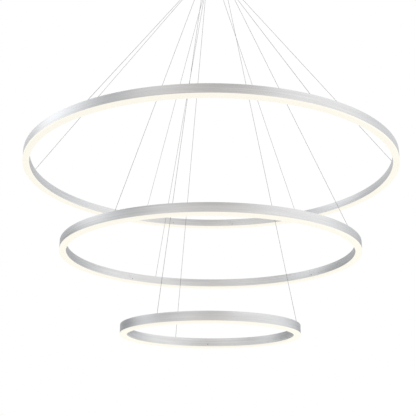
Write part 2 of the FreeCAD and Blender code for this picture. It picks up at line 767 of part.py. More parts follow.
def canopy_screws():
    radius = size("canopy_radius")
    shank = Part.makeCylinder(size("side_screw_radius"), size("side_screw_length"))
    head = Part.makeCylinder(size("side_head_radius"), size("side_head_height"))
    head = head.makeFillet(size("side_head_edge"), [head.Edges[0]])
    head.translate(Vector(0, 0, size("side_screw_length")))
    screw = shank.fuse(head).removeSplitter()
    lay_down = Placement(Vector(), Rotation(Vector(0, 1, 0), 90))
    start = radius - size("side_screw_length") + size("seat_gap")
    places = [on_circle(start, size("tab_angle") + 360 / count("third") * number,
                        -size("side_screw_level"))
              for number in range(count("third"))]
    return group("canopy_screws", [moved(screw, place.multiply(lay_down)) for place in places])


def entry_bush():
    below = "-plate_thickness"
    section = [
        ("bush_bore", "0"), ("entry_radius - seat_gap", "0"), ("entry_radius - seat_gap", below),
        ("bush_flange_radius", below), ("bush_flange_radius", f"{below} - bush_flange_height"),
        ("bush_bore", f"{below} - bush_flange_height"),
    ]
    body = revolved("entry_bush", [section])
    bind(body, ".Placement.Base.y", "entry_offset")
    return keep(body, "entry_bush")


def pole_offset(number):
    return size("pole_pitch") * (number - (size("pole_count") - 1) / 2)


def wire_level():
    return size("wire_hole_rise") - size("plate_thickness") - size("block_height") / 2


def terminal_block():
    """Four poles: a screw hole at each end of a pole from below, and a wire hole in each side."""
    length, width = size("block_length"), size("block_width")
    top = -size("plate_thickness")
    bottom = top - size("block_height")
    middle = -size("block_offset")
    block = Part.makeBox(length, width, size("block_height"),
                         Vector(-length / 2, middle - width / 2, bottom))
    radius, depth = size("terminal_hole_radius"), size("terminal_hole_depth")
    for number in range(count("pole_count")):
        across = pole_offset(number)
        for side in (-1, 1):
            screw_along = middle + side * (width / 2 - size("terminal_screw_inset"))
            block = block.cut(Part.makeCylinder(radius, depth, Vector(across, screw_along, bottom)))
            face = Vector(across, middle + side * width / 2, wire_level())
            block = block.cut(Part.makeCylinder(radius, depth, face, Vector(0, -side, 0)))
    return group("terminal_block", [block])


def terminal_screws():
    bottom = -size("plate_thickness") - size("block_height")
    top = bottom + size("terminal_hole_depth")
    screws = []
    for number in range(count("pole_count")):
        for side in (-1, 1):
            along = side * (size("block_width") / 2 - size("terminal_screw_inset"))
            base = Vector(pole_offset(number), along - size("block_offset"),
                          top - size("terminal_screw_length"))
            screws.append(Part.makeCylinder(size("terminal_screw_radius"),
                                            size("terminal_screw_length"), base))
    return group("terminal_screws", screws)


def earth_stud():
    stud = hexagon(size("earth_flats"), size("earth_height"), None)
    stud.translate(Vector(0, size("earth_offset"), -size("plate_thickness") - size("earth_height")))
    return group("earth_stud", [stud])


# ---------------------------------------------------------------- drivers

def driver_master():
    """Case, board and screws of one driver, drawn with the driver's long side along X at +Y."""
    length, width, height = size("driver_length"), size("driver_width"), size("driver_height")
    wall, ear = size("driver_wall"), size("ear_length")
    near = size("driver_circle") - width / 2
    top = -size("plate_thickness")
    case = Part.makeBox(length, width, height, Vector(-length / 2, near, top - height))
    hollow = Part.makeBox(length - 2 * wall, width - 2 * wall, height - wall,
                          Vector(wall - length / 2, near + wall, top - height + wall))
    ears = Part.makeBox(length + 2 * ear, size("ear_width"), size("ear_thickness"),
                        Vector(-length / 2 - ear, size("driver_circle") - size("ear_width") / 2,
                               top - size("ear_thickness")))
    case = case.fuse(ears).removeSplitter().cut(hollow)
    thickness, gap = size("circuit_board_thickness"), size("circuit_board_gap")
    level = top - size("circuit_board_depth") - thickness
    board = Part.makeBox(length - 2 * wall - 2 * gap, width - 2 * wall - 2 * gap, thickness,
                         Vector(wall + gap - length / 2, near + wall + gap, level))
    transformer = Part.makeBox(size("transformer_length"), size("transformer_width"),
                               size("transformer_height"),
                               Vector(-size("transformer_length") / 2,
                                      size("driver_circle") - size("transformer_width") / 2,
                                      level - size("transformer_height")))
    circuit = board.fuse(transformer)
    screws = []
    for side in (-1, 1):
        circuit = circuit.fuse(Part.makeCylinder(
            size("capacitor_radius"), size("transformer_height"),
            Vector(side * size("capacitor_offset"), size("driver_circle"),
                   level - size("transformer_height"))))
        place = Vector(side * (length / 2 + ear / 2), size("driver_circle"), 0)
        hole = Part.makeCylinder(size("driver_screw_radius") + size("hole_gap"), height,
                                 place + Vector(0, 0, top - height))
        case = case.cut(hole)
        seat = top - size("ear_thickness")
        shank = Part.makeCylinder(size("driver_screw_radius"), -seat, place + Vector(0, 0, seat))
        head = Part.makeCylinder(size("driver_head_radius"), size("driver_head_height"),
                                 place + Vector(0, 0, seat - size("driver_head_height")))
        screws.append(shank.fuse(head).removeSplitter())
    return case, circuit.removeSplitter(), screws


def drivers():
    case, circuit, screws = driver_master()
    turns = [Placement(Vector(), Rotation(UP, DRIVER_ANGLES[ring] - 90)) for ring in RINGS]
    group("driver_cases", [moved(case, turn) for turn in turns])
    group("driver_boards", [moved(circuit, turn) for turn in turns])
    group("driver_screws", [moved(screw, turn) for turn in turns for screw in screws])


def supply_leads():
    """Two-core leads from the terminal block to the three drivers, and the earth lead."""
    start = size("block_width") / 2 - size("block_offset")
    driver_face = size("driver_circle") - size("driver_width") / 2
    side_face = Rotation(UP, 120).multVec(Vector(size("driver_entry"), driver_face, 0))
    side_run = side_face - Rotation(UP, 120).multVec(Vector(0, size("driver_run"), 0))
    stud = Vector(0, size("earth_offset"), 0)
    to_stud = Rotation(UP, -30).multVec(Vector(1, 0, 0))
    stud_face = stud + to_stud * (size("earth_flats") / 2)
    stud_run = stud_face + to_stud * size("stud_run")
    routes = [
        [(pole_offset(0), start), (pole_offset(0), -2), (-28, 12), (side_run.x, side_run.y),
         (side_face.x, side_face.y)],
        [(pole_offset(1), start), (-12, -6), (-14, 10), (-14, driver_face)],
        [(pole_offset(2), start), (12, -6), (13, 8), (stud_run.x, stud_run.y),
         (stud_face.x, stud_face.y)],
        [(pole_offset(3), start), (pole_offset(3), -2), (28, 12), (-side_run.x, side_run.y),
         (-side_face.x, side_face.y)],
    ]
    bars = []
    for route in routes:
        points = [Vector(across, along, wire_level()) for across, along in route]
        bars.append(tube(points, size("supply_lead_radius"))[0])
    return group("supply_leads", bars)


def output_leads():
    """From the floor of each driver's case to the upper ends of its ring's two live cables."""
    case_floor = -size("plate_thickness") - size("driver_height")
    middle = (case_floor + tail_level()) / 2
    bars = []
    for ring in RINGS:
        near, far = [on_circle(size(ring + "_row"), cable_angle(ring, cable), tail_level()).Base
                     for cable in LIVE_CABLES[ring]]
        turn = Rotation(UP, DRIVER_ANGLES[ring] - 90)
        exits = [turn.multVec(Vector(side * size("exit_spread"), size("driver_circle"), case_floor))
                 for side in (-1, 1)]
        exits.sort(key=lambda exit_point: (exit_point - near).Length)
        for tail, exit_point in ((near, exits[0]), (far, exits[1])):
            points = [exit_point, Vector(exit_point.x, exit_point.y, middle),
                      Vector(tail.x, tail.y, middle), tail]
            bars.append(tube(points, size("lead_radius"))[0])
    return group("output_leads", bars)


# ---------------------------------------------------------------- grippers

def gripper_master():
    """Barrel with a thread on top, a cavity for the spring, and a cone that narrows downwards."""
    bore = "cable_radius + cable_gap"
    exit_radius = "nose_radius + nose_gap"
    section = [
        (bore, "shank_length"), ("shank_radius", "shank_length"), ("shank_radius", "0"),
        ("gripper_flange_radius", "0"), ("gripper_flange_radius", "-gripper_flange_height"),
        ("gripper_radius", "-gripper_flange_height"),
        ("gripper_radius", "gripper_chamfer - gripper_length"),
        ("gripper_radius - gripper_chamfer", "-gripper_length"),
        (exit_radius, "-gripper_length"), (exit_radius, "-cone_bottom"),
        ("cone_radius", "-cone_bottom"), ("cavity_radius", "-cone_top"),
        ("cavity_radius", "-cavity_top"), (bore, "-cavity_top"),
    ]
    return revolved("gripper_master", [section]).Shape


def plunger_master():
    """Tube with a head that rests on the bottom of the cone, and three balls round the cable."""
    bore = "cable_radius + cable_gap"
    seat = "-cone_bottom"
    section = [
        (bore, f"{seat} - nose_length"), ("nose_radius", f"{seat} - nose_length"),
        ("nose_radius", seat), ("head_radius", seat), ("head_radius", f"{seat} + head_height"),
        (bore, f"{seat} + head_height"),
    ]
    body = revolved("plunger_master", [section])
    holes_outwards(body, "ball_holes", "ball_radius + ball_hole_gap", f"{seat} + ball_level",
                   "ball_count", "head_radius + cut_margin")
    pitch_radius = size("cable_radius") + size("ball_gap") + size("ball_radius")
    level = size("ball_level") - size("cone_bottom")
    balls = []
    for number in range(count("ball_count")):
        place = on_circle(pitch_radius, size("tab_angle") + 360 / count("ball_count") * number, level)
        balls.append(Part.makeSphere(size("ball_radius"), place.Base))
    return Part.makeCompound([body.Shape] + balls)


def grippers():
    floor = -size("canopy_height")
    barrel = gripper_master()
    plunger = plunger_master()
    nut = hexagon(size("gripper_nut_flats"), size("gripper_nut_height"),
                  size("shank_radius") + size("thread_gap"))
    spring_base = size("head_height") - size("cone_bottom")
    spring_length = -size("cavity_top") - spring_base
    spring = Part.makeCylinder(size("spring_outer"), spring_length)
    spring = spring.cut(Part.makeCylinder(size("spring_inner"), spring_length))
    places = list(gripper_places())
    spots = [on_circle(radius, angle, floor) for ring, number, radius, angle in places]
    group("gripper_bodies", [moved(barrel, spot) for spot in spots])
    raised = Placement(Vector(0, 0, size("canopy_sheet")), Rotation())
    group("gripper_nuts", [moved(nut, spot.multiply(raised)) for spot in spots])
    seated = Placement(Vector(0, 0, spring_base), Rotation())
    group("gripper_springs", [moved(spring, spot.multiply(seated)) for spot in spots])
    for (ring, number, radius, angle), spot in zip(places, spots):
        group(f"{ring}_plunger_{number}", [moved(plunger, spot)])


# ---------------------------------------------------------------- the whole object

def make_all():
    fill_sheet()
    anchor = anchor_master()
    for ring in RINGS:
        make_ring(ring, anchor)
    mounting_plate()
    entry_bush()
    terminal_block()
    terminal_screws()
    earth_stud()
    drivers()
    supply_leads()
    output_leads()
    canopy()
    canopy_screws()
    grippers()
    doc.recompute()


def check_all():
    for item in doc.Objects:
        if "Invalid" in item.State or "Error" in item.State:
            raise ValueError(f"{item.Name} is {item.State}")
    for name, piece in nodes.items():
        if piece.Shape.isNull() or not piece.Shape.isValid():
            raise ValueError(name + " has no valid shape")


def write_all():
    os.makedirs("parts", exist_ok=True)
    for name, piece in nodes.items():
        piece.Shape.exportStep(f"parts/{name}.step")
    print(f"{len(nodes)} nodes, {sum(len(piece.Shape.Solids) for piece in nodes.values())} solids")


make_all()
check_all()
write_all()
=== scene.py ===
"""Dresses the fixed frame of a chandelier with three LED rings and lights it as photographed."""

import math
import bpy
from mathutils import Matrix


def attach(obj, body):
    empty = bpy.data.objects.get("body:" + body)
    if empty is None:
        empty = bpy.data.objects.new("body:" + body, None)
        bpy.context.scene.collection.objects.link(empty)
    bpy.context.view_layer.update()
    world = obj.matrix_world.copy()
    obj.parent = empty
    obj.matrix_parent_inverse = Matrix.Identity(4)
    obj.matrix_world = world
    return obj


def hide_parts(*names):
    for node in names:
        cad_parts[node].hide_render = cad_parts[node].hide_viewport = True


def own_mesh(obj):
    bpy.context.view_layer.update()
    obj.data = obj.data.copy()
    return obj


bl_info = {
    "name": "LED ring chandelier",
    "version": (1, 0, 0),
    "blender": (4, 5, 0),
    "location": "3D View > Sidebar > Chandelier",
    "description": "Rings, diffusers, cables, grippers, canopy and studio of a chandelier",
    "category": "Object",
}

import bmesh
import bpy
from bpy.props import FloatProperty, FloatVectorProperty, IntProperty, PointerProperty
from bpy.types import Operator, Panel, PropertyGroup
from mathutils import Matrix, Vector

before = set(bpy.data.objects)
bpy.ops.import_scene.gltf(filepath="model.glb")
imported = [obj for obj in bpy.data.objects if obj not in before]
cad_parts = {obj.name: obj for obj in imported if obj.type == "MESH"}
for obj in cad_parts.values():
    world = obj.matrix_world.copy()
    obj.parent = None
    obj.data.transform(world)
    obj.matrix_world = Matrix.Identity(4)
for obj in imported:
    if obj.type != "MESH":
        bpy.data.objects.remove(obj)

RINGS = ("upper", "middle", "lower")

# Directions of the dark joint screws, in degrees from +X. Each butt joint is beside its screw.
JOINT_SCREWS = {"upper": (81.5, 104.8), "middle": (38.2, 128.6), "lower": (91.8,)}

# Directions of the screws in the canopy's side, in degrees from +X.
SIDE_SCREWS = (-90, 30, 150)


# ---- sizes and colours

def amount(name, description, default, **kind):
    return FloatProperty(name=name, description=description, default=default, **kind)


def length(name, description, default):
    return amount(name, description, default, min=0.0, precision=5, unit="LENGTH")


def quantity(name, description, default, least=1):
    return IntProperty(name=name, description=description, default=default, min=least)


def colour(name, description, default):
    return FloatVectorProperty(name=name, description=description, default=default, size=3, min=0.0,
                               max=1.0, subtype="COLOR")


class RingSizes(PropertyGroup):
    """Sizes of the three rings and of the section that they share."""

    upper_diameter: length("Upper diameter", "Outside of the upper ring", 1.2)
    middle_diameter: length("Middle diameter", "Outside of the middle ring", 0.94)
    lower_diameter: length("Lower diameter", "Outside of the lower ring", 0.55)
    upper_drop: length("Upper drop", "Ceiling to the upper ring's top face", 0.770)
    middle_drop: length("Middle drop", "Ceiling to the middle ring's top face", 1.043)
    lower_drop: length("Lower drop", "Ceiling to the lower ring's top face", 1.290)
    width: length("Profile width", "Radial width of the profile", 0.020)
    height: length("Profile height", "Height of the metal", 0.0265)
    wall: length("Wall", "Side walls of the profile", 0.0015)
    shelf: length("Shelf", "Shelf above the metal's lower edge", 0.015)
    rib: length("Rib height", "Snap rib above the metal's lower edge", 0.002)
    rib_thickness: length("Rib thickness", "Snap rib, measured upwards", 0.001)
    rib_reach: length("Rib reach", "How far the snap rib stands out", 0.0005)
    edge: length("Eased edge", "Rounding of the metal's outer edges", 0.0004)
    seam: length("Seam", "Gap between the profile's ends", 0.0002)
    diffuser_drop: length("Diffuser drop", "Diffuser below the metal", 0.0055)
    diffuser_skin: length("Diffuser skin", "Lit face of the diffuser", 0.002)
    diffuser_edge: length("Diffuser edge", "Rounding of the diffuser's lower edges", 0.0009)
    leg_gap: length("Leg gap", "Diffuser leg to the wall", 0.0008)
    leg: length("Leg", "Thickness of a diffuser leg", 0.0012)
    leg_height: length("Leg height", "Diffuser leg above the metal's lower edge", 0.005)
    hook: length("Hook", "Reach of the hook on a leg", 0.0005)
    hook_height: length("Hook height", "Hook, measured upwards", 0.0012)
    snap_gap: length("Snap gap", "Hook above the rib", 0.0002)
    steps: quantity("Steps", "Sections round a full ring", 360, least=24)


class LightSourceSizes(PropertyGroup):
    """Light sources on the board inside each ring."""

    pitch: length("Pitch", "Spacing along the board", 0.033)
    side: length("Side", "Side of a package", 0.005)
    height: length("Height", "Height of a package with its lens", 0.0012)
    board: length("Board", "Thickness of the board", 0.001)
    lens: length("Lens radius", "Phosphor lens", 0.0019)


class CableSizes(PropertyGroup):
    """Stranded cables between the rings and the grippers."""

    upper_cables: quantity("Upper cables", "Cables of the upper ring", 6)
    middle_cables: quantity("Middle cables", "Cables of the middle ring", 3)
    lower_cables: quantity("Lower cables", "Cables of the lower ring", 3)
    upper_row: length("Upper row", "Circle of the upper ring's grippers", 0.074)
    middle_row: length("Middle row", "Circle of the middle ring's grippers", 0.062)
    lower_row: length("Lower row", "Circle of the lower ring's grippers", 0.050)
    first_angle: amount("First angle", "Direction of each ring's first cable", math.radians(-124),
                        subtype="ANGLE")
    radius: length("Radius", "Cable over its strands", 0.0006)
    groove: length("Groove radius", "Cable at the bottom of its grooves", 0.00047)
    strands: quantity("Strands", "Strands round the core", 6, least=3)
    lay: length("Lay", "Length in which a strand goes round once", 0.009)
    step: length("Step", "Distance between sections of the cable", 0.0015)
    bend_above_anchor: length("Anchor bend", "Bend above the ring's top face", 0.0049)
    stop_below_top: length("Stop", "Lower end below the ring's top face", 0.010)
    mouth: length("Mouth", "Bend at the gripper, below the ceiling", 0.0904)
    tail: length("Tail", "Upper end below the ceiling", 0.036)
    straight: length("Straight", "Where the straight run starts beyond a bend", 0.0072)
    rise: length("Rise", "How far each ring can be raised", 0.3)


class GripperSizes(PropertyGroup):
    """Springs of the cable grippers."""

    spring_base: length("Spring base", "Foot of the spring, below the ceiling", 0.073)
    spring_top: length("Spring top", "Top of the spring, below the ceiling", 0.058)
    spring_radius: length("Spring radius", "Middle of the spring's wire", 0.0016)
    wire: length("Wire", "Radius of the spring's wire", 0.00022)
    turns: amount("Turns", "Turns of each spring", 8.0)
    travel: length("Travel", "How far a plunger is pressed", 0.003)


class ScrewSizes(PropertyGroup):
    """Socket screws that show: in the rings' joints and in the canopy's side."""

    joint_level: length("Joint level", "Joint screw above the metal's lower edge", 0.0068)
    joint_offset: length("Joint offset", "Joint screw beside its seam", 0.008)
    joint_head: length("Joint head", "Radius of the joint screw's head", 0.0013)
    joint_head_height: length("Joint head height", "Height of that head", 0.0005)
    joint_shank: length("Joint shank", "Radius of the joint screw", 0.001)
    joint_length: length("Joint length", "Joint screw below its head", 0.003)
    side_level: length("Side level", "Canopy screw below the ceiling", 0.011)
    side_seat: length("Side seat", "Head of the canopy screw from the axis", 0.11002)
    side_head: length("Side head", "Radius of the canopy screw's head", 0.0036)
    side_head_height: length("Side head height", "Height of that head", 0.0022)
    side_shank: length("Side shank", "Radius of the canopy screw", 0.002)
    side_length: length("Side length", "Canopy screw below its head", 0.009)


class Colours(PropertyGroup):
    """Colours of the finishes."""

    aluminium: colour("Ring aluminium", "Brushed profile", (0.88, 0.88, 0.885))
    canopy: colour("Canopy", "Brushed steel", (0.58, 0.58, 0.59))
    glow: colour("Glow", "Lit diffuser", (1.0, 0.962, 0.865))
    opal: colour("Opal", "Diffuser without its light", (0.42, 0.41, 0.37))
    steel: colour("Cable steel", "Strands", (0.29, 0.285, 0.29))
    nickel: colour("Nickel", "Anchors and grippers", (0.66, 0.64, 0.60))
    zinc: colour("Zinc", "Plate, nuts and screws", (0.56, 0.59, 0.63))
    black: colour("Black", "Joint screws", (0.02, 0.02, 0.022))
    brass: colour("Brass", "Terminal screws and earth stud", (0.72, 0.52, 0.22))
    spring: colour("Spring steel", "Springs", (0.30, 0.30, 0.32))
    rubber: colour("Rubber", "Entry bush", (0.025, 0.025, 0.025))
    terminal: colour("Terminal", "Terminal block", (0.72, 0.70, 0.64))
    driver: colour("Driver", "Driver cases", (0.78, 0.78, 0.76))
    sheath: colour("Sheath", "Supply leads", (0.70, 0.70, 0.68))
    lead: colour("Lead", "Single leads", (0.50, 0.03, 0.02))
    circuit: colour("Circuit", "Circuit boards", (0.02, 0.16, 0.06))
    board: colour("LED board", "White boards", (0.85, 0.85, 0.83))
    phosphor: colour("Phosphor", "Lens of a light source", (1.0, 0.78, 0.22))
    floor: colour("Floor", "Studio floor", (0.82, 0.82, 0.81))


class Studio(PropertyGroup):
    """Camera, lamps and floor."""

    distance: length("Distance", "Camera in front of the rings' axis", 2.3199)
    level: length("Level", "Camera below the ceiling", 1.6556)
    pitch: amount("Pitch", "How far the camera looks up", 0.3118, subtype="ANGLE")
    turn: amount("Turn", "Camera turned to its left", 0.0038, subtype="ANGLE")
    roll: amount("Roll", "Camera tilted to its left", 0.0053, subtype="ANGLE")
    lens: amount("Lens", "Focal length", 65.43, subtype="DISTANCE_CAMERA")
    floor_level: length("Floor", "Floor below the ceiling", 3.2)
    floor_size: length("Floor size", "Radius of the floor", 14.0)
    glow: amount("Glow", "Strength of the lit diffusers", 0.66)
    world: amount("World", "Strength of the world's light", 0.8)
    high: amount("High lamp", "Power of the lamp behind the rings", 8.0, unit="POWER")
    side: amount("Side lamp", "Power of the lamp beside the rings", 0.1, unit="POWER")
    low: amount("Low lamp", "Power of the lamp low at the right", 9.0, unit="POWER")


class Chandelier(PropertyGroup):
    """Everything that can be changed."""

    rings: PointerProperty(type=RingSizes)
    sources: PointerProperty(type=LightSourceSizes)
    cables: PointerProperty(type=CableSizes)
    grippers: PointerProperty(type=GripperSizes)
    screws: PointerProperty(type=ScrewSizes)
    colours: PointerProperty(type=Colours)
    studio: PointerProperty(type=Studio)


def settings():
    return bpy.context.scene.chandelier


# ---- node trees

def arithmetic(operation):
    """The methods of one sign of arithmetic: as it stands, and with a plain number on the left."""
    return (lambda self, other: self.maths(operation, self, other),
            lambda self, other: self.maths(operation, other, self))


class Value:
    """A number in a node tree, with the usual arithmetic."""

    def __init__(self, nodes, socket):
        self.nodes = nodes
        self.socket = socket

    def maths(self, operation, first, second=0.0):
        node = self.nodes.add("ShaderNodeMath", {"operation": operation}, {0: first, 1: second})
        return Value(self.nodes, node.outputs[0])

    __add__, __radd__ = arithmetic("ADD")
    __sub__, __rsub__ = arithmetic("SUBTRACT")
    __mul__, __rmul__ = arithmetic("MULTIPLY")
    __truediv__, __rtruediv__ = arithmetic("DIVIDE")
    __pow__, __rpow__ = arithmetic("POWER")

    def clipped(self):
        return self.nodes.value("ShaderNodeClamp", inputs={"Value": self})


class Nodes:
    """Adds nodes to one tree and joins their sockets."""

    def __init__(self, tree):
        self.tree = tree
        tree.nodes.clear()

    def add(self, kind, traits=None, inputs=None):
        node = self.tree.nodes.new(kind)
        for name, value in (traits or {}).items():
            if name == "stops":
                self.set_stops(node.color_ramp, value)
            else:
                setattr(node, name, value)
        for name, value in (inputs or {}).items():
            self.feed(node.inputs[name], value)
        return node

    def feed(self, socket, value):
        value = getattr(value, "socket", value)
        if isinstance(value, bpy.types.NodeSocket):
            self.tree.links.new(value, socket)
        elif isinstance(value, bpy.types.Node):
            self.tree.links.new(value.outputs[0], socket)
        else:
            socket.default_value = value

    def set_stops(self, ramp, stops):
        while len(ramp.elements) < len(stops):
            ramp.elements.new(1.0)
        for element, (place, shade) in zip(ramp.elements, stops):
            element.position = place
            element.color = (*shade, 1.0)

    def value(self, kind, traits=None, inputs=None, output=0):
        return Value(self, self.add(kind, traits, inputs).outputs[output])

    def vector(self, x, y, z):
        return self.add("ShaderNodeCombineXYZ", inputs={"X": x, "Y": y, "Z": z})

    def noise(self, vector, scale=1.0, detail=2.0):
        return self.value("ShaderNodeTexNoise", inputs={
            "Vector": vector, "Scale": scale, "Detail": detail})

    def mix(self, factor, first, second):
        node = self.add("ShaderNodeMix", {"data_type": "RGBA"}, {0: factor, 6: first, 7: second})
        return node.outputs[2]


def title(label):
    """The name that a socket has in Blender."""
    return label.replace("_", " ").title()


def opaque(shade, level=1.0):
    """A colour as four numbers, made lighter or darker."""
    return (*[min(1.0, part * level) for part in shade], 1.0)


class Finish(Nodes):
    """A material with one main shader."""

    def __init__(self, name, **constants):
        self.material = bpy.data.materials.new(name)
        self.material.use_nodes = True
        super().__init__(self.material.node_tree)
        self.shader = self.add("ShaderNodeBsdfPrincipled")
        self.add("ShaderNodeOutputMaterial", inputs={"Surface": self.shader})
        self.point = self.add("ShaderNodeTexCoord").outputs["Object"]
        self.give(**constants)

    def place(self):
        """The surface's point on the object, as three numbers in metres."""
        split = self.add("ShaderNodeSeparateXYZ", inputs={"Vector": self.point})
        return [Value(self, split.outputs[axis]) for axis in "XYZ"]

    def speckle(self, scale, detail=2.0):
        """Noise of about so many specks in a metre, alike in every direction."""
        return self.noise(self.point, scale, detail)

    def shades(self, factor, shade, dark, light):
        return self.mix(factor, opaque(shade, dark), opaque(shade, light))

    def give(self, **inputs):
        for name, value in inputs.items():
            self.feed(self.shader.inputs[title(name)], value)

    def bump(self, height, depth, strength=1.0):
        self.give(normal=self.add("ShaderNodeBump", inputs={
            "Height": height, "Distance": depth, "Strength": strength}))


# ---- finishes

# Brushed lines: how many in a metre along them, and across them.
FINE_LINES = (9.0, 2600.0)
BROAD_LINES = (5.0, 260.0)
FINE_SHARE = 0.35

# Depths of the finest relief.
TOOL_MARKS = 0.00002
LATHE_MARKS = 0.00003
MOULD_GRAIN = 0.00004

TRACK_SCALE = 1000.0    # the tracks of a circuit board are drawn in millimetres


def brushed_round(name, shade, roughness=0.3):
    """Metal brushed along the ring: its lines follow the circle about Z."""
    finish = Finish(name, metallic=1.0)
    x, y, z = finish.place()
    round_z = (x * x + y * y) ** 0.5 + z
    fine, broad = [finish.noise(finish.vector(x * along, y * along, round_z * across), detail=3.0)
                   for along, across in (FINE_LINES, BROAD_LINES)]
    patches = finish.speckle(5.0, 3.0)
    lines = fine * FINE_SHARE + broad * (1 - FINE_SHARE)
    tone = ((lines - 0.5) * 2.0 + (patches - 0.5) * 0.6 + 0.5).clipped()
    finish.give(base_color=finish.shades(tone, shade, dark=0.86, light=1.12),
                roughness=lines * 0.12 + patches * 0.06 + (roughness - 0.09))
    finish.bump(fine, TOOL_MARKS)


def lit_opal(name, shade, glow, strength):
    """Opal plastic lit from behind, a little warmer in soft clouds."""
    finish = Finish(name, roughness=0.42, emission_strength=strength)
    cloud, grain = finish.speckle(22.0), finish.speckle(900.0, 1.0)
    warm = (glow[0], glow[1] * 0.985, glow[2] * 0.93)
    finish.give(base_color=finish.shades(grain, shade, dark=0.97, light=1.0),
                emission_color=finish.mix(cloud, opaque(warm), opaque(glow)))
    finish.bump(grain, TOOL_MARKS, strength=0.4)


def turned(name, shade, roughness=0.24):
    """Plated metal turned on a lathe about an upright axis."""
    finish = Finish(name, metallic=1.0)
    x, y, z = finish.place()
    rings = finish.noise(finish.vector(x * 30.0, y * 30.0, z * 3200.0))
    smudge = finish.speckle(160.0, 4.0)
    finish.give(base_color=finish.shades((rings + smudge) * 0.5, shade, dark=0.82, light=1.1),
                roughness=rings * 0.1 + smudge * 0.16 + (roughness - 0.1))
    finish.bump(rings, LATHE_MARKS, strength=0.6)


def plated(name, shade):
    """Zinc plating: small crystals of slightly different tone."""
    finish = Finish(name, metallic=1.0)
    crystals = finish.value("ShaderNodeTexVoronoi", inputs={
        "Vector": finish.point, "Scale": 420.0}, output="Color")
    cloud = finish.speckle(60.0, 4.0)
    grain = finish.value("ShaderNodeSeparateColor", inputs={0: crystals})
    finish.give(base_color=finish.shades((grain + cloud) * 0.5, shade, dark=0.8, light=1.12),
                roughness=cloud * 0.2 + 0.26)
    finish.bump(grain, TOOL_MARKS, strength=0.5)


def black_oxide(name, shade):
    """Blackened steel with a little of the bare metal's sheen."""
    finish = Finish(name, metallic=0.6)
    cloud = finish.speckle(700.0, 3.0)
    finish.give(base_color=finish.shades(cloud, shade, dark=0.6, light=2.2),
                roughness=cloud * 0.2 + 0.32)
    finish.bump(cloud, TOOL_MARKS, strength=0.5)


def strand_steel(name, shade):
    """Drawn wire, brighter where it has rubbed."""
    finish = Finish(name, metallic=1.0)
    drawn, rubbed = finish.speckle(2400.0), finish.speckle(45.0, 3.0)
    finish.give(base_color=finish.shades(drawn * 0.4 + rubbed * 0.6, shade, dark=0.75, light=1.15),
                roughness=drawn * 0.12 + 0.28)


def moulded(name, shade, roughness=0.45, grain_scale=1500.0):
    """Moulded plastic with a fine spark-eroded grain."""
    finish = Finish(name)
    grain, flow = finish.speckle(grain_scale), finish.speckle(30.0, 3.0)
    finish.give(base_color=finish.shades(flow, shade, dark=0.93, light=1.05),
                roughness=flow * 0.12 + grain * 0.08 + (roughness - 0.1))
    finish.bump(grain, MOULD_GRAIN, strength=0.5)


def solder_mask(name, shade, tracks):
    """Circuit board: its tracks show faintly through the lacquer."""
    finish = Finish(name)
    x, y, _ = finish.place()
    blocks = finish.value("ShaderNodeTexBrick", {"offset": 0.5}, {
        "Vector": finish.vector(x * TRACK_SCALE, y * TRACK_SCALE, 0.0), "Scale": 0.35,
        "Mortar Size": 0.08, "Brick Width": 2.2, "Row Height": 0.9}, output="Fac")
    lacquer = finish.speckle(90.0, 3.0)
    finish.give(base_color=finish.mix(blocks, opaque(shade), opaque(tracks)),
                roughness=lacquer * 0.15 + 0.3)
    finish.bump(blocks, MOULD_GRAIN, strength=0.5)


def lit_phosphor(name, shade, glow, strength):
    """The lens of a light source."""
    finish = Finish(name, roughness=0.3, emission_strength=strength)
    grain = finish.speckle(4000.0)
    finish.give(base_color=finish.shades(grain, shade, dark=0.85, light=1.0),
                emission_color=finish.mix(grain, opaque(shade, 0.95), opaque(glow)))


def studio_floor(name, shade):
    """Plain pale floor."""
    finish = Finish(name, roughness=0.7)
    finish.give(base_color=finish.shades(finish.speckle(1.3, 4.0), shade, dark=0.985, light=1.01))


def make_finishes():
    shades = settings().colours
    glow = settings().studio.glow
    brushed_round("ring aluminium", shades.aluminium)
    brushed_round("canopy steel", shades.canopy, 0.34)
    lit_opal("lit opal", shades.opal, shades.glow, glow)
    turned("nickel", shades.nickel)
    turned("brass", shades.brass, 0.3)
    turned("spring steel", shades.spring, 0.3)
    plated("zinc", shades.zinc)
    black_oxide("black oxide", shades.black)
    strand_steel("cable steel", shades.steel)
    moulded("rubber", shades.rubber, 0.7)
    moulded("terminal plastic", shades.terminal)
    moulded("driver plastic", shades.driver, 0.5)
    moulded("sheath", shades.sheath, 0.4, 600.0)
    moulded("lead insulation", shades.lead, 0.38, 600.0)
    solder_mask("circuit board", shades.circuit, (0.05, 0.3, 0.1))
    solder_mask("LED board", shades.board, (0.7, 0.68, 0.6))
    lit_phosphor("phosphor", shades.phosphor, (1.0, 0.93, 0.75), glow)
    studio_floor("studio floor", shades.floor)


def finish_of(name):
    return bpy.data.materials[name]


# ---- making pieces

CRISP_EDGE = math.radians(30)
WELD = 0.000002             # points nearer than this are one
NEAR_EASE, FAR_EASE = 0.45, 0.05    # where the two middle points of a rounded corner lie


def add_object(name, data):
    piece = bpy.data.objects.new(name, data)
    bpy.context.scene.collection.objects.link(piece)
    return piece


def smooth(mesh):
    """Round faces shade smoothly, and sharper edges stay crisp."""
    mesh.shade_smooth()
    mesh.set_sharp_from_angle(angle=CRISP_EDGE)


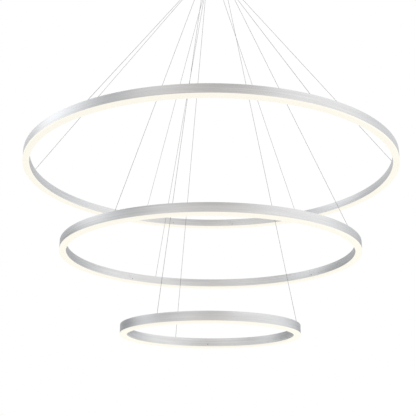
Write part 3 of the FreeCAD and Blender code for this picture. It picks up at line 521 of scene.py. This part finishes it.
def outline(name, corners):
    """A closed outline as a curve. Corners are (x, y, ease), and ease rounds a corner off."""
    points = []
    for number, corner in enumerate(corners):
        before, after = corners[number - 1], corners[(number + 1) % len(corners)]
        here = Vector(corner[:2])
        if not corner[2]:
            points.append(here)
            continue
        back = (Vector(before[:2]) - here).normalized() * corner[2]
        ahead = (Vector(after[:2]) - here).normalized() * corner[2]
        points += [here + back, here + back * NEAR_EASE + ahead * FAR_EASE,
                   here + back * FAR_EASE + ahead * NEAR_EASE, here + ahead]
    curve = bpy.data.curves.new(name, "CURVE")
    curve.dimensions = "3D"
    spline = curve.splines.new("POLY")
    spline.points.add(len(points) - 1)
    for target, point in zip(spline.points, points):
        target.co = (point.x, point.y, 0.0, 1.0)
    spline.use_cyclic_u = True
    return add_object(name, curve)


class Recipe(Nodes):
    """A Geometry Nodes tree with named inputs, which ends in one material and real meshes."""

    def __init__(self, name, **inputs):
        tree = bpy.data.node_groups.new(name, "GeometryNodeTree")
        super().__init__(tree)
        for label, kind in inputs.items():
            tree.interface.new_socket(name=title(label), in_out="INPUT",
                                      socket_type="NodeSocket" + kind)
        tree.interface.new_socket(name="Geometry", in_out="OUTPUT",
                                  socket_type="NodeSocketGeometry")
        self.start = self.add("NodeGroupInput")

    def given(self, label):
        return Value(self, self.start.outputs[title(label)])

    def painted(self, geometry, finish):
        return self.add("GeometryNodeSetMaterial", inputs={
            "Geometry": geometry, "Material": finish})

    def joined(self, *parts):
        join = self.add("GeometryNodeJoinGeometry")
        for part in parts:
            self.tree.links.new(part.outputs[0], join.inputs[0])
        return join

    def shifted(self, geometry, shift):
        return self.add("GeometryNodeTransform", inputs={
            "Geometry": geometry, "Translation": shift})

    def swept(self, curve, section):
        return self.add("GeometryNodeCurveToMesh", inputs={
            "Curve": curve, "Profile Curve": section, "Fill Caps": True})

    def round_axis(self, geometry, count, first_angle):
        """Copies of a geometry, evenly spaced about Z."""
        points = self.add("GeometryNodePoints", inputs={"Count": count})
        index = self.value("GeometryNodeInputIndex")
        angle = first_angle + index * (2 * math.pi) / count
        turn = self.add("FunctionNodeAxisAngleToRotation", inputs={
            "Axis": (0, 0, 1), "Angle": angle})
        return self.add("GeometryNodeInstanceOnPoints", inputs={
            "Points": points, "Instance": geometry, "Rotation": turn})

    def curve_of(self, label):
        """The curve of an object that the recipe is given."""
        info = self.add("GeometryNodeObjectInfo", inputs={"Object": self.given(label)})
        return info.outputs["Geometry"]

    def finish_with(self, geometry):
        real = self.add("GeometryNodeRealizeInstances", inputs={0: geometry})
        self.add("NodeGroupOutput", inputs={0: real})

    def make(self, name, **inputs):
        """Runs the recipe and keeps its result as a plain mesh."""
        piece = add_object(name, bpy.data.meshes.new(name))
        modifier = piece.modifiers.new("recipe", "NODES")
        modifier.node_group = self.tree
        for label, value in inputs.items():
            for item in self.tree.interface.items_tree:
                if item.in_out == "INPUT" and item.name == title(label):
                    modifier[item.identifier] = finish_of(value) if "finish" in label else value
        graph = bpy.context.evaluated_depsgraph_get()
        mesh = bpy.data.meshes.new_from_object(piece.evaluated_get(graph), depsgraph=graph)
        piece.modifiers.remove(modifier)
        piece.data = mesh
        mesh.name = name
        if not mesh.polygons:
            raise RuntimeError(name + " has no faces")
        smooth(mesh)
        return piece


def belongs(piece, body, slot, *nodes):
    """The piece moves with a body and stands for these nodes; its finish slot is not used."""
    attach(piece, body)
    if nodes:
        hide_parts(*nodes)


def paint(finish, *nodes):
    for node in nodes:
        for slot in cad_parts[node].material_slots:
            slot.material = finish_of(finish)


# ---- where things are

def ring_size(ring, word):
    return getattr(settings().rings, f"{ring}_{word}")


def inner_radius(ring):
    return ring_size(ring, "diameter") / 2 - settings().rings.width


def middle_radius(ring):
    return ring_size(ring, "diameter") / 2 - settings().rings.width / 2


def lower_edge(ring):
    return -ring_size(ring, "drop") - settings().rings.height


def at_angle(radius, angle, level):
    return Vector((radius * math.cos(angle), radius * math.sin(angle), level))


# ---- recipes

BODY_SHARE = 0.7    # of a light source's height; its lens has the rest
LENS_SIDES = 14
TURN_STEPS = 20     # sections of one turn of a spring
WIRE_SIDES = 8


def strip_recipe():
    """A section swept round a circle, between two angles, as rolled profile is."""
    recipe = Recipe("rolled strip", section="Object", radius="Float", level="Float", start="Float",
                    sweep="Float", steps="Int", endless="Bool", finish="Material")
    arc = recipe.add("GeometryNodeCurveArc", {"mode": "RADIUS"}, {
        "Resolution": recipe.given("steps"), "Radius": recipe.given("radius"),
        "Start Angle": recipe.given("start"), "Sweep Angle": recipe.given("sweep")})
    arc = recipe.add("GeometryNodeSetSplineCyclic", inputs={
        "Geometry": arc, "Cyclic": recipe.given("endless")})
    swept = recipe.swept(arc, recipe.curve_of("section"))
    welded = recipe.add("GeometryNodeMergeByDistance", inputs={"Geometry": swept, "Distance": WELD})
    raised = recipe.shifted(welded, recipe.vector(0.0, 0.0, recipe.given("level")))
    recipe.finish_with(recipe.painted(raised, recipe.given("finish")))
    return recipe


def source_recipe():
    """Square packages with round phosphor lenses, evenly spaced under a board."""
    recipe = Recipe("light sources", radius="Float", level="Float", count="Int", side="Float",
                    height="Float", lens="Float", body_finish="Material", lens_finish="Material")
    side, radius, level = [recipe.given(label) for label in ("side", "radius", "level")]
    thick = recipe.given("height") * BODY_SHARE
    thin = recipe.given("height") - thick
    body = recipe.add("GeometryNodeMeshCube", inputs={"Size": recipe.vector(side, side, thick)})
    body = recipe.shifted(body, recipe.vector(radius, 0.0, level - thick * 0.5))
    lens = recipe.add("GeometryNodeMeshCylinder", inputs={
        "Vertices": LENS_SIDES, "Radius": recipe.given("lens"), "Depth": thin})
    lens = recipe.shifted(lens, recipe.vector(radius, 0.0, level - thick - thin * 0.5))
    package = recipe.joined(recipe.painted(body, recipe.given("body_finish")),
                            recipe.painted(lens, recipe.given("lens_finish")))
    recipe.finish_with(recipe.round_axis(package, recipe.given("count"), 0.0))
    return recipe


def cable_recipe():
    """Strands laid round a route, and the whole cable repeated about Z."""
    recipe = Recipe("stranded cables", route="Object", count="Int", first_angle="Float",
                    strands="Int", radius="Float", groove="Float", lay="Float", step="Float",
                    finish="Material")
    even = recipe.add("GeometryNodeResampleCurve", {"mode": "LENGTH"}, {
        "Curve": recipe.curve_of("route"), "Length": recipe.given("step")})
    along = recipe.value("GeometryNodeSplineParameter", output="Length")
    twisted = recipe.add("GeometryNodeSetCurveTilt", inputs={
        "Curve": even, "Tilt": along * (2 * math.pi) / recipe.given("lay")})
    section = recipe.add("GeometryNodeCurveStar", inputs={
        "Points": recipe.given("strands"), "Inner Radius": recipe.given("groove"),
        "Outer Radius": recipe.given("radius")})
    cable = recipe.painted(recipe.swept(twisted, section), recipe.given("finish"))
    recipe.finish_with(recipe.round_axis(cable, recipe.given("count"), recipe.given("first_angle")))
    return recipe


def spring_recipe():
    """An open coil of round wire at one place."""
    recipe = Recipe("coil spring", turns="Float", radius="Float", wire="Float", height="Float",
                    place="Vector", finish="Material")
    coil = recipe.add("GeometryNodeCurveSpiral", inputs={
        "Resolution": TURN_STEPS, "Rotations": recipe.given("turns"),
        "Height": recipe.given("height"),
        "Start Radius": recipe.given("radius"), "End Radius": recipe.given("radius")})
    section = recipe.add("GeometryNodeCurvePrimitiveCircle", inputs={
        "Resolution": WIRE_SIDES, "Radius": recipe.given("wire")})
    wire = recipe.shifted(recipe.swept(coil, section), recipe.given("place"))
    recipe.finish_with(recipe.painted(wire, recipe.given("finish")))
    return recipe


# ---- ring pieces

def whole_section(name, half):
    """A closed section from its half at the inner wall, mirrored to the outer wall.

    Corners are (x, z, ease), x from the ring's inner face and z up from the metal's lower edge.
    """
    width = settings().rings.width
    whole = half + [(width - x, z, ease) for x, z, ease in reversed(half)]
    return outline(name, [(x, -z, ease) for x, z, ease in reversed(whole)])


def housing_section():
    """A box above the shelf, and an open channel with snap ribs below it."""
    sizes = settings().rings
    wall, rib_face = sizes.wall, sizes.wall + sizes.rib_reach
    rib, rib_top, ease = sizes.rib, sizes.rib + sizes.rib_thickness, sizes.edge
    return whole_section("housing section", [
        (0, sizes.height, ease), (0, 0, ease), (wall, 0, 0), (wall, rib, 0), (rib_face, rib, 0),
        (rib_face, rib_top, 0), (wall, rib_top, 0), (wall, sizes.shelf, 0),
    ])


def diffuser_section():
    """A shallow trough with two hooked legs."""
    sizes = settings().rings
    outside = sizes.wall + sizes.leg_gap
    inside = outside + sizes.leg
    base = sizes.rib + sizes.rib_thickness + sizes.snap_gap
    return whole_section("diffuser section", [
        (inside, sizes.diffuser_skin - sizes.diffuser_drop, 0), (inside, sizes.leg_height, 0),
        (outside, sizes.leg_height, 0), (outside, base + sizes.hook_height, 0),
        (outside - sizes.hook, base, 0), (outside, base, 0), (outside, 0, 0), (0, 0, 0),
        (0, -sizes.diffuser_drop, sizes.diffuser_edge),
    ])


FEWEST_STEPS = 8    # sections of a short piece of profile


def make_housings():
    """One piece of profile from each butt joint to the next."""
    sizes = settings().rings
    recipe, section = strip_recipe(), housing_section()
    for ring in RINGS:
        half_seam = sizes.seam / 2 / inner_radius(ring)
        beside = settings().screws.joint_offset / inner_radius(ring)
        starts = [math.radians(angle) + beside for angle in JOINT_SCREWS[ring]]
        ends = starts[1:] + [starts[0] + 2 * math.pi]
        for number, (start, end) in enumerate(zip(starts, ends), start=1):
            sweep = end - start - 2 * half_seam
            piece = recipe.make(
                f"{ring}_profile_{number}", section=section, radius=inner_radius(ring),
                level=lower_edge(ring), start=start + half_seam, sweep=sweep,
                steps=max(FEWEST_STEPS, round(sizes.steps * sweep / (2 * math.pi))), endless=False,
                finish="ring aluminium")
            belongs(piece, f"{ring}_ring", "ring_aluminium", f"{ring}_housing")
    bpy.data.objects.remove(section)


def make_diffusers():
    recipe, section = strip_recipe(), diffuser_section()
    steps = settings().rings.steps
    for ring in RINGS:
        piece = recipe.make(
            f"{ring}_opal_strip", section=section, radius=inner_radius(ring),
            level=lower_edge(ring), start=0.0, sweep=2 * math.pi * (steps - 1) / steps, steps=steps,
            endless=True, finish="lit opal")
        belongs(piece, f"{ring}_ring", "opal_diffuser", f"{ring}_diffuser")
    bpy.data.objects.remove(section)


def make_light_sources():
    sizes = settings().sources
    recipe = source_recipe()
    for ring in RINGS:
        count = int(2 * math.pi * middle_radius(ring) / sizes.pitch)
        level = lower_edge(ring) + settings().rings.shelf - sizes.board
        piece = recipe.make(
            f"{ring}_light_sources", radius=middle_radius(ring), level=level, count=count,
            side=sizes.side, height=sizes.height, lens=sizes.lens,
            body_finish="LED board", lens_finish="phosphor")
        belongs(piece, f"{ring}_ring", "led_phosphor", f"{ring}_leds")
        paint("LED board", f"{ring}_led_board")


# ---- screws

def add_ring(mesh, radii, level):
    """A closed ring of corners about Z, one radius for each corner."""
    share = 2 * math.pi / len(radii)
    return [mesh.verts.new(at_angle(radius, share * number, level))
            for number, radius in enumerate(radii)]


def bridge(mesh, lower, upper):
    for number in range(len(lower)):
        following = (number + 1) % len(lower)
        mesh.faces.new((lower[number], lower[following], upper[following], upper[number]))


SCREW_SIDES = 36
SOCKET_SHARE = 0.5    # half the socket's width across its flats, in radii of the head
TIP_BEVEL = 0.3       # of the shank's end, in radii of the shank

# Turns about Y that point a shank away from the axis or at it.
OUTWARDS, INWARDS = math.pi / 2, -math.pi / 2

# Shares of the head's radius and height, from its side over its rounded edge to its face.
BUTTON = ((1.0, 0.0), (1.0, 0.35), (0.93, 0.72), (0.78, 1.0))

# The same of the hexagon and the head's height: the socket's bevel, its wall and its floor.
SOCKET = ((1.06, 1.0), (1.0, 0.92), (1.0, 0.25))


def socket_screw(mesh, place, head, head_height, shank, shank_length):
    """A button screw with a hexagon socket. Its seat is at z = 0 and its shank points up."""
    turns = [2 * math.pi / SCREW_SIDES * number for number in range(SCREW_SIDES)]
    disc = [1.0] * SCREW_SIDES
    hexagon = [SOCKET_SHARE / math.cos(turn % (math.pi / 3) - math.pi / 6) for turn in turns]
    levels = [(disc, shank * (1 - TIP_BEVEL), shank_length),
              (disc, shank, shank_length - shank * TIP_BEVEL), (disc, shank, 0.0)]
    levels += [(disc, head * wide, -head_height * high) for wide, high in BUTTON]
    levels += [(hexagon, head * wide, -head_height * high) for wide, high in SOCKET]
    rings = [add_ring(mesh, [radius * share for share in form], level)
             for form, radius, level in levels]
    for upper, lower in zip(rings, rings[1:]):
        bridge(mesh, lower, upper)
    mesh.faces.new(rings[0])
    mesh.faces.new(list(reversed(rings[-1])))
    bmesh.ops.transform(mesh, matrix=place, verts=[vert for ring in rings for vert in ring])


def screw_places(angles, radius, level, aim):
    """Where the heads of screws in an upright wall round Z sit."""
    places = []
    for angle in map(math.radians, angles):
        turn = Matrix.Rotation(angle, 4, "Z") @ Matrix.Rotation(aim, 4, "Y")
        places.append(Matrix.Translation(at_angle(radius, angle, level)) @ turn)
    return places


def screw_piece(name, kind, places, finish):
    """Screws of one kind, which begins the names of its sizes."""
    sizes = [getattr(settings().screws, f"{kind}_{word}")
             for word in ("head", "head_height", "shank", "length")]
    mesh = bmesh.new()
    for place in places:
        socket_screw(mesh, place, *sizes)
    bmesh.ops.recalc_face_normals(mesh, faces=mesh.faces)
    data = bpy.data.meshes.new(name)
    mesh.to_mesh(data)
    mesh.free()
    data.materials.append(finish_of(finish))
    smooth(data)
    return add_object(name, data)


def make_screws():
    sizes = settings().screws
    for ring in RINGS:
        places = screw_places(JOINT_SCREWS[ring], inner_radius(ring),
                              lower_edge(ring) + sizes.joint_level, OUTWARDS)
        piece = screw_piece(f"{ring}_socket_screws", "joint", places, "black oxide")
        belongs(piece, f"{ring}_ring", "dark_steel", f"{ring}_joint_screws")
        paint("ring aluminium", f"{ring}_joint_plates")
    places = screw_places(SIDE_SCREWS, sizes.side_seat, -sizes.side_level, INWARDS)
    piece = screw_piece("canopy_socket_screws", "side", places, "nickel")
    belongs(piece, "canopy_unit", "nickel", "canopy_screws")


# ---- cables

NEARLY_ALL = 0.99    # of a straight end; a second point there makes the line leave it straight
TAIL_START = 0.45    # of a straight end; each tail starts this far up it


def route(name, points):
    """A smooth line through a cable's route, drawn in the plane of the first cable at +X."""
    curve = bpy.data.curves.new(name, "CURVE")
    curve.dimensions = "3D"
    curve.resolution_u = 12
    spline = curve.splines.new("NURBS")
    spline.points.add(len(points) - 1)
    for target, point in zip(spline.points, points):
        target.co = (*point, 1.0)
    spline.order_u = 3
    spline.use_endpoint_u = True
    return add_object(name, curve)


def make_cables():
    """Each ring's cables in three lengths: in the anchors, in the open, and in the grippers."""
    sizes = settings().cables
    recipe = cable_recipe()
    for ring in RINGS:
        count = getattr(sizes, ring + "_cables")
        top = -ring_size(ring, "drop")
        row = getattr(sizes, ring + "_row")
        anchor = Vector((middle_radius(ring), 0, top + sizes.bend_above_anchor))
        mouth = Vector((row, 0, -sizes.mouth))
        run = (mouth - anchor).normalized() * sizes.straight
        up = Vector((0, 0, sizes.straight))
        inside = Vector((middle_radius(ring), 0, top - sizes.stop_below_top))
        tail = Vector((row, 0, -sizes.tail))
        lengths = {
            "cable_ends": ([inside, anchor - up], f"{ring}_ring"),
            "cable_runs": ([anchor - up, anchor - up * NEARLY_ALL, anchor, anchor + run,
                            mouth - run, mouth, mouth + up * NEARLY_ALL, mouth + up],
                           "canopy_unit"),
            "cable_tails": ([mouth + up * TAIL_START, tail], "canopy_unit"),
        }
        for word, (points, body) in lengths.items():
            line = route("cable route", points)
            piece = recipe.make(
                f"{ring}_{word}", route=line, count=count, first_angle=sizes.first_angle,
                strands=sizes.strands, radius=sizes.radius, groove=sizes.groove, lay=sizes.lay,
                step=sizes.step, finish="cable steel")
            bpy.data.objects.remove(line)
            belongs(piece, body, "cable_steel", f"{ring}_cables")
            if word == "cable_runs":
                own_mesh(piece)
        paint("nickel", f"{ring}_anchors", f"{ring}_cable_stops")
        paint("zinc", f"{ring}_anchor_nuts")
        paint("lead insulation", f"{ring}_board_leads")


# ---- ceiling fitting

def make_grippers():
    """A coil spring above each plunger, and the plated parts round it."""
    sizes = settings().grippers
    cables = settings().cables
    recipe = spring_recipe()
    height = sizes.spring_base - sizes.spring_top
    for ring in RINGS:
        count = getattr(cables, ring + "_cables")
        for number in range(count):
            angle = cables.first_angle + 2 * math.pi / count * number
            place = at_angle(getattr(cables, ring + "_row"), angle, -sizes.spring_base)
            place.z += sizes.wire
            name = f"{ring}_plunger_{number + 1}"
            piece = recipe.make(
                f"{ring}_spring_{number + 1}", turns=sizes.turns, radius=sizes.spring_radius,
                wire=sizes.wire, height=height - 2 * sizes.wire, place=place,
                finish="spring steel")
            belongs(piece, "canopy_unit", "spring_steel", "gripper_springs")
            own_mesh(piece)
            paint("nickel", name)
    paint("nickel", "gripper_bodies")
    paint("zinc", "gripper_nuts")


def finish_fitting():
    paint("canopy steel", "canopy")
    paint("zinc", "mounting_plate", "driver_screws")
    paint("rubber", "entry_bush")
    paint("terminal plastic", "terminal_block")
    paint("brass", "terminal_screws", "earth_stud")
    paint("driver plastic", "driver_cases")
    paint("circuit board", "driver_boards")
    paint("sheath", "supply_leads")
    paint("lead insulation", "output_leads")


# ---- studio

def make_camera():
    sizes = settings().studio
    data = bpy.data.cameras.new("camera")
    data.sensor_width = 36.0
    data.lens = sizes.lens
    data.clip_start, data.clip_end = 0.05, 60.0
    camera = add_object("camera", data)
    turn = Matrix.Rotation(sizes.turn, 4, "Z") @ Matrix.Rotation(math.pi / 2 + sizes.pitch, 4, "X")
    turn = turn @ Matrix.Rotation(sizes.roll, 4, "Z")
    camera.matrix_world = Matrix.Translation((0.0, -sizes.distance, -sizes.level)) @ turn
    bpy.context.scene.camera = camera


def add_lamp(name, place, target, size, power, shade):
    data = bpy.data.lights.new(name, "AREA")
    data.shape = "RECTANGLE"
    data.size, data.size_y = size
    data.energy = power
    data.color = shade
    lamp = add_object(name, data)
    lamp.visible_camera = False
    aim = (Vector(target) - Vector(place)).to_track_quat("-Z", "Y")
    lamp.matrix_world = Matrix.Translation(place) @ aim.to_matrix().to_4x4()


# What the metal mirrors: soft boxes and dark gaps round the studio. Each stop has its direction in
# degrees, from the viewer at 0 towards the viewer's right, its level, and its blue less its red.
HIGH_IN_THE_ROOM = (
    (-180, 0.60, 0.00), (-124, 0.75, 0.01), (-110, 1.00, 0.04), (-88, 1.00, 0.05),
    (-73, 0.50, 0.03), (-60, 0.42, 0.01), (-38, 0.74, -0.01), (-20, 0.63, -0.02),
    (2, 0.46, -0.02), (22, 0.58, -0.02), (42, 0.88, -0.01), (90, 0.92, 0.00),
    (118, 0.68, 0.02), (135, 0.74, 0.01), (180, 0.60, 0.00),
)
LOW_IN_THE_ROOM = (
    (-180, 0.40, 0.01), (-150, 0.42, 0.02), (-135, 0.30, 0.02), (-118, 0.34, 0.02),
    (-96, 0.66, 0.02), (-80, 0.70, 0.01), (-62, 0.57, 0.00), (-28, 0.76, -0.02),
    (2, 0.65, -0.02), (32, 0.78, -0.02), (90, 0.86, 0.01), (120, 0.64, 0.02),
    (150, 0.42, 0.02), (180, 0.40, 0.01),
)
ROOM_SPLIT = 0.29       # rise of a direction half-way between the low and the high part
ROOM_CONTRAST = 7.0     # how quickly one gives way to the other
WHITE = (1.0, 1.0, 1.0, 1.0)
SKYLIGHT = (0.97, 0.98, 1.0, 1.0)


def surroundings(stops):
    """Stops of a colour ramp that goes once round the room."""
    return [(angle / 360 + 0.5, (level - blue / 2, level, level + blue / 2))
            for angle, level, blue in stops]


def make_world():
    """White where it is seen, and a room of soft boxes and dark gaps where metal mirrors it."""
    world = bpy.data.worlds.new("studio")
    world.use_nodes = True
    bpy.context.scene.world = world
    nodes = Nodes(world.node_tree)
    ray = nodes.add("ShaderNodeLightPath")
    camera, glossy, through = [Value(nodes, ray.outputs[name]) for name in (
        "Is Camera Ray", "Is Glossy Ray", "Is Transmission Ray")]
    direction = nodes.add("ShaderNodeTexCoord").outputs["Generated"]
    split = nodes.add("ShaderNodeSeparateXYZ", inputs={"Vector": direction})
    across, away, up = [Value(nodes, split.outputs[axis]) for axis in "XYZ"]
    turn = across.maths("ARCTAN2", across, away * -1.0) / (2 * math.pi) + 0.5
    low, high = [nodes.add("ShaderNodeValToRGB", {"stops": surroundings(stops)}, {"Fac": turn})
                 for stops in (LOW_IN_THE_ROOM, HIGH_IN_THE_ROOM)]
    room = nodes.mix(((up - ROOM_SPLIT) * ROOM_CONTRAST + 0.5).clipped(), low, high)
    mirrored = nodes.mix(glossy, WHITE, room)
    seen = nodes.add("ShaderNodeBackground", inputs={"Color": mirrored, "Strength": 1.0})
    light = nodes.add("ShaderNodeBackground", inputs={
        "Color": SKYLIGHT, "Strength": settings().studio.world})
    shown = (camera + glossy + through).clipped()
    output = nodes.add("ShaderNodeMixShader", inputs={0: shown, 1: light, 2: seen})
    nodes.add("ShaderNodeOutputWorld", inputs={"Surface": output})


def make_lamps():
    """Three soft lamps, each with its place, its target, its size, its power and its colour."""
    powers = settings().studio
    for lamp in (
            ("high lamp", (-1.4, 1.8, 2.0), (-0.1, 0.0, -0.8), (1.4, 1.4), powers.high,
             (0.97, 0.985, 1.0)),
            ("side lamp", (-1.2, -0.12, -0.44), (-0.5, -0.4, -0.78), (0.46, 0.3), powers.side,
             (0.96, 0.98, 1.0)),
            ("low lamp", (2.6, -1.2, -2.6), (0.0, 0.0, -0.8), (1.4, 1.4), powers.low,
             (1.0, 0.99, 0.97))):
        add_lamp(*lamp)


def make_floor():
    sizes = settings().studio
    mesh = bmesh.new()
    bmesh.ops.create_circle(mesh, cap_ends=True, segments=96, radius=sizes.floor_size,
                            matrix=Matrix.Translation((0, 0, -sizes.floor_level)))
    data = bpy.data.meshes.new("floor")
    mesh.to_mesh(data)
    mesh.free()
    data.materials.append(finish_of("studio floor"))
    add_object("floor", data)


# ---- operators

class CHANDELIER_OT_finishes(Operator):
    """Mix the finishes that every piece takes"""

    bl_idname = "chandelier.finishes"
    bl_label = "Finishes"

    def execute(self, context):
        make_finishes()
        return {"FINISHED"}


class CHANDELIER_OT_camera(Operator):
    """Set up the camera at the photograph's viewing angle"""

    bl_idname = "chandelier.camera"
    bl_label = "Camera"

    def execute(self, context):
        make_camera()
        return {"FINISHED"}


class CHANDELIER_OT_housings(Operator):
    """Sweep the aluminium profile of each ring from joint to joint"""

    bl_idname = "chandelier.housings"
    bl_label = "Ring housings"

    def execute(self, context):
        make_housings()
        return {"FINISHED"}


class CHANDELIER_OT_diffusers(Operator):
    """Sweep the opal strip below each ring"""

    bl_idname = "chandelier.diffusers"
    bl_label = "Diffusers"

    def execute(self, context):
        make_diffusers()
        return {"FINISHED"}


class CHANDELIER_OT_light_sources(Operator):
    """Set the light sources out along each ring's board"""

    bl_idname = "chandelier.light_sources"
    bl_label = "Light sources"

    def execute(self, context):
        make_light_sources()
        return {"FINISHED"}


class CHANDELIER_OT_screws(Operator):
    """Make the socket screws of the rings' joints and of the canopy"""

    bl_idname = "chandelier.screws"
    bl_label = "Socket screws"

    def execute(self, context):
        make_screws()
        return {"FINISHED"}


class CHANDELIER_OT_cables(Operator):
    """Lay the stranded cables from the anchors to the grippers"""

    bl_idname = "chandelier.cables"
    bl_label = "Cables"

    def execute(self, context):
        make_cables()
        return {"FINISHED"}


class CHANDELIER_OT_grippers(Operator):
    """Wind the springs of the grippers and finish the plated parts"""

    bl_idname = "chandelier.grippers"
    bl_label = "Grippers"

    def execute(self, context):
        make_grippers()
        return {"FINISHED"}


class CHANDELIER_OT_fitting(Operator):
    """Finish the canopy, the plate and what the canopy hides"""

    bl_idname = "chandelier.fitting"
    bl_label = "Ceiling fitting"

    def execute(self, context):
        finish_fitting()
        return {"FINISHED"}


class CHANDELIER_OT_studio(Operator):
    """Set up the floor, the lamps and the white surroundings"""

    bl_idname = "chandelier.studio"
    bl_label = "Studio"

    def execute(self, context):
        make_world()
        make_floor()
        make_lamps()
        return {"FINISHED"}


STEPS = (
    CHANDELIER_OT_finishes, CHANDELIER_OT_camera, CHANDELIER_OT_cables, CHANDELIER_OT_housings,
    CHANDELIER_OT_diffusers, CHANDELIER_OT_light_sources, CHANDELIER_OT_screws,
    CHANDELIER_OT_grippers, CHANDELIER_OT_fitting, CHANDELIER_OT_studio,
)


class CHANDELIER_PT_steps(Panel):
    """Lists the steps and the sizes that can be changed"""

    bl_idname = "CHANDELIER_PT_steps"
    bl_label = "LED ring chandelier"
    bl_space_type = "VIEW_3D"
    bl_region_type = "UI"
    bl_category = "Chandelier"

    def draw(self, context):
        for step in STEPS:
            self.layout.operator(step.bl_idname)
        for group in ("rings", "sources", "cables", "grippers", "screws", "colours", "studio"):
            box = self.layout.box()
            box.label(text=group.title())
            values = getattr(context.scene.chandelier, group)
            for name in values.bl_rna.properties.keys():
                if name not in ("rna_type", "name"):
                    box.prop(values, name)


CLASSES = (
    RingSizes, LightSourceSizes, CableSizes, GripperSizes, ScrewSizes, Colours, Studio, Chandelier,
    *STEPS, CHANDELIER_PT_steps,
)


def register():
    for item in CLASSES:
        bpy.utils.register_class(item)
    bpy.types.Scene.chandelier = PointerProperty(type=Chandelier)


def unregister():
    del bpy.types.Scene.chandelier
    for item in reversed(CLASSES):
        bpy.utils.unregister_class(item)


def main():
    register()
    bpy.context.scene.view_settings.view_transform = "Standard"
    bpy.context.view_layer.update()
    for step in STEPS:
        group, word = step.bl_idname.split(".")
        getattr(getattr(bpy.ops, group), word)()


if __name__ == "__main__":
    main()
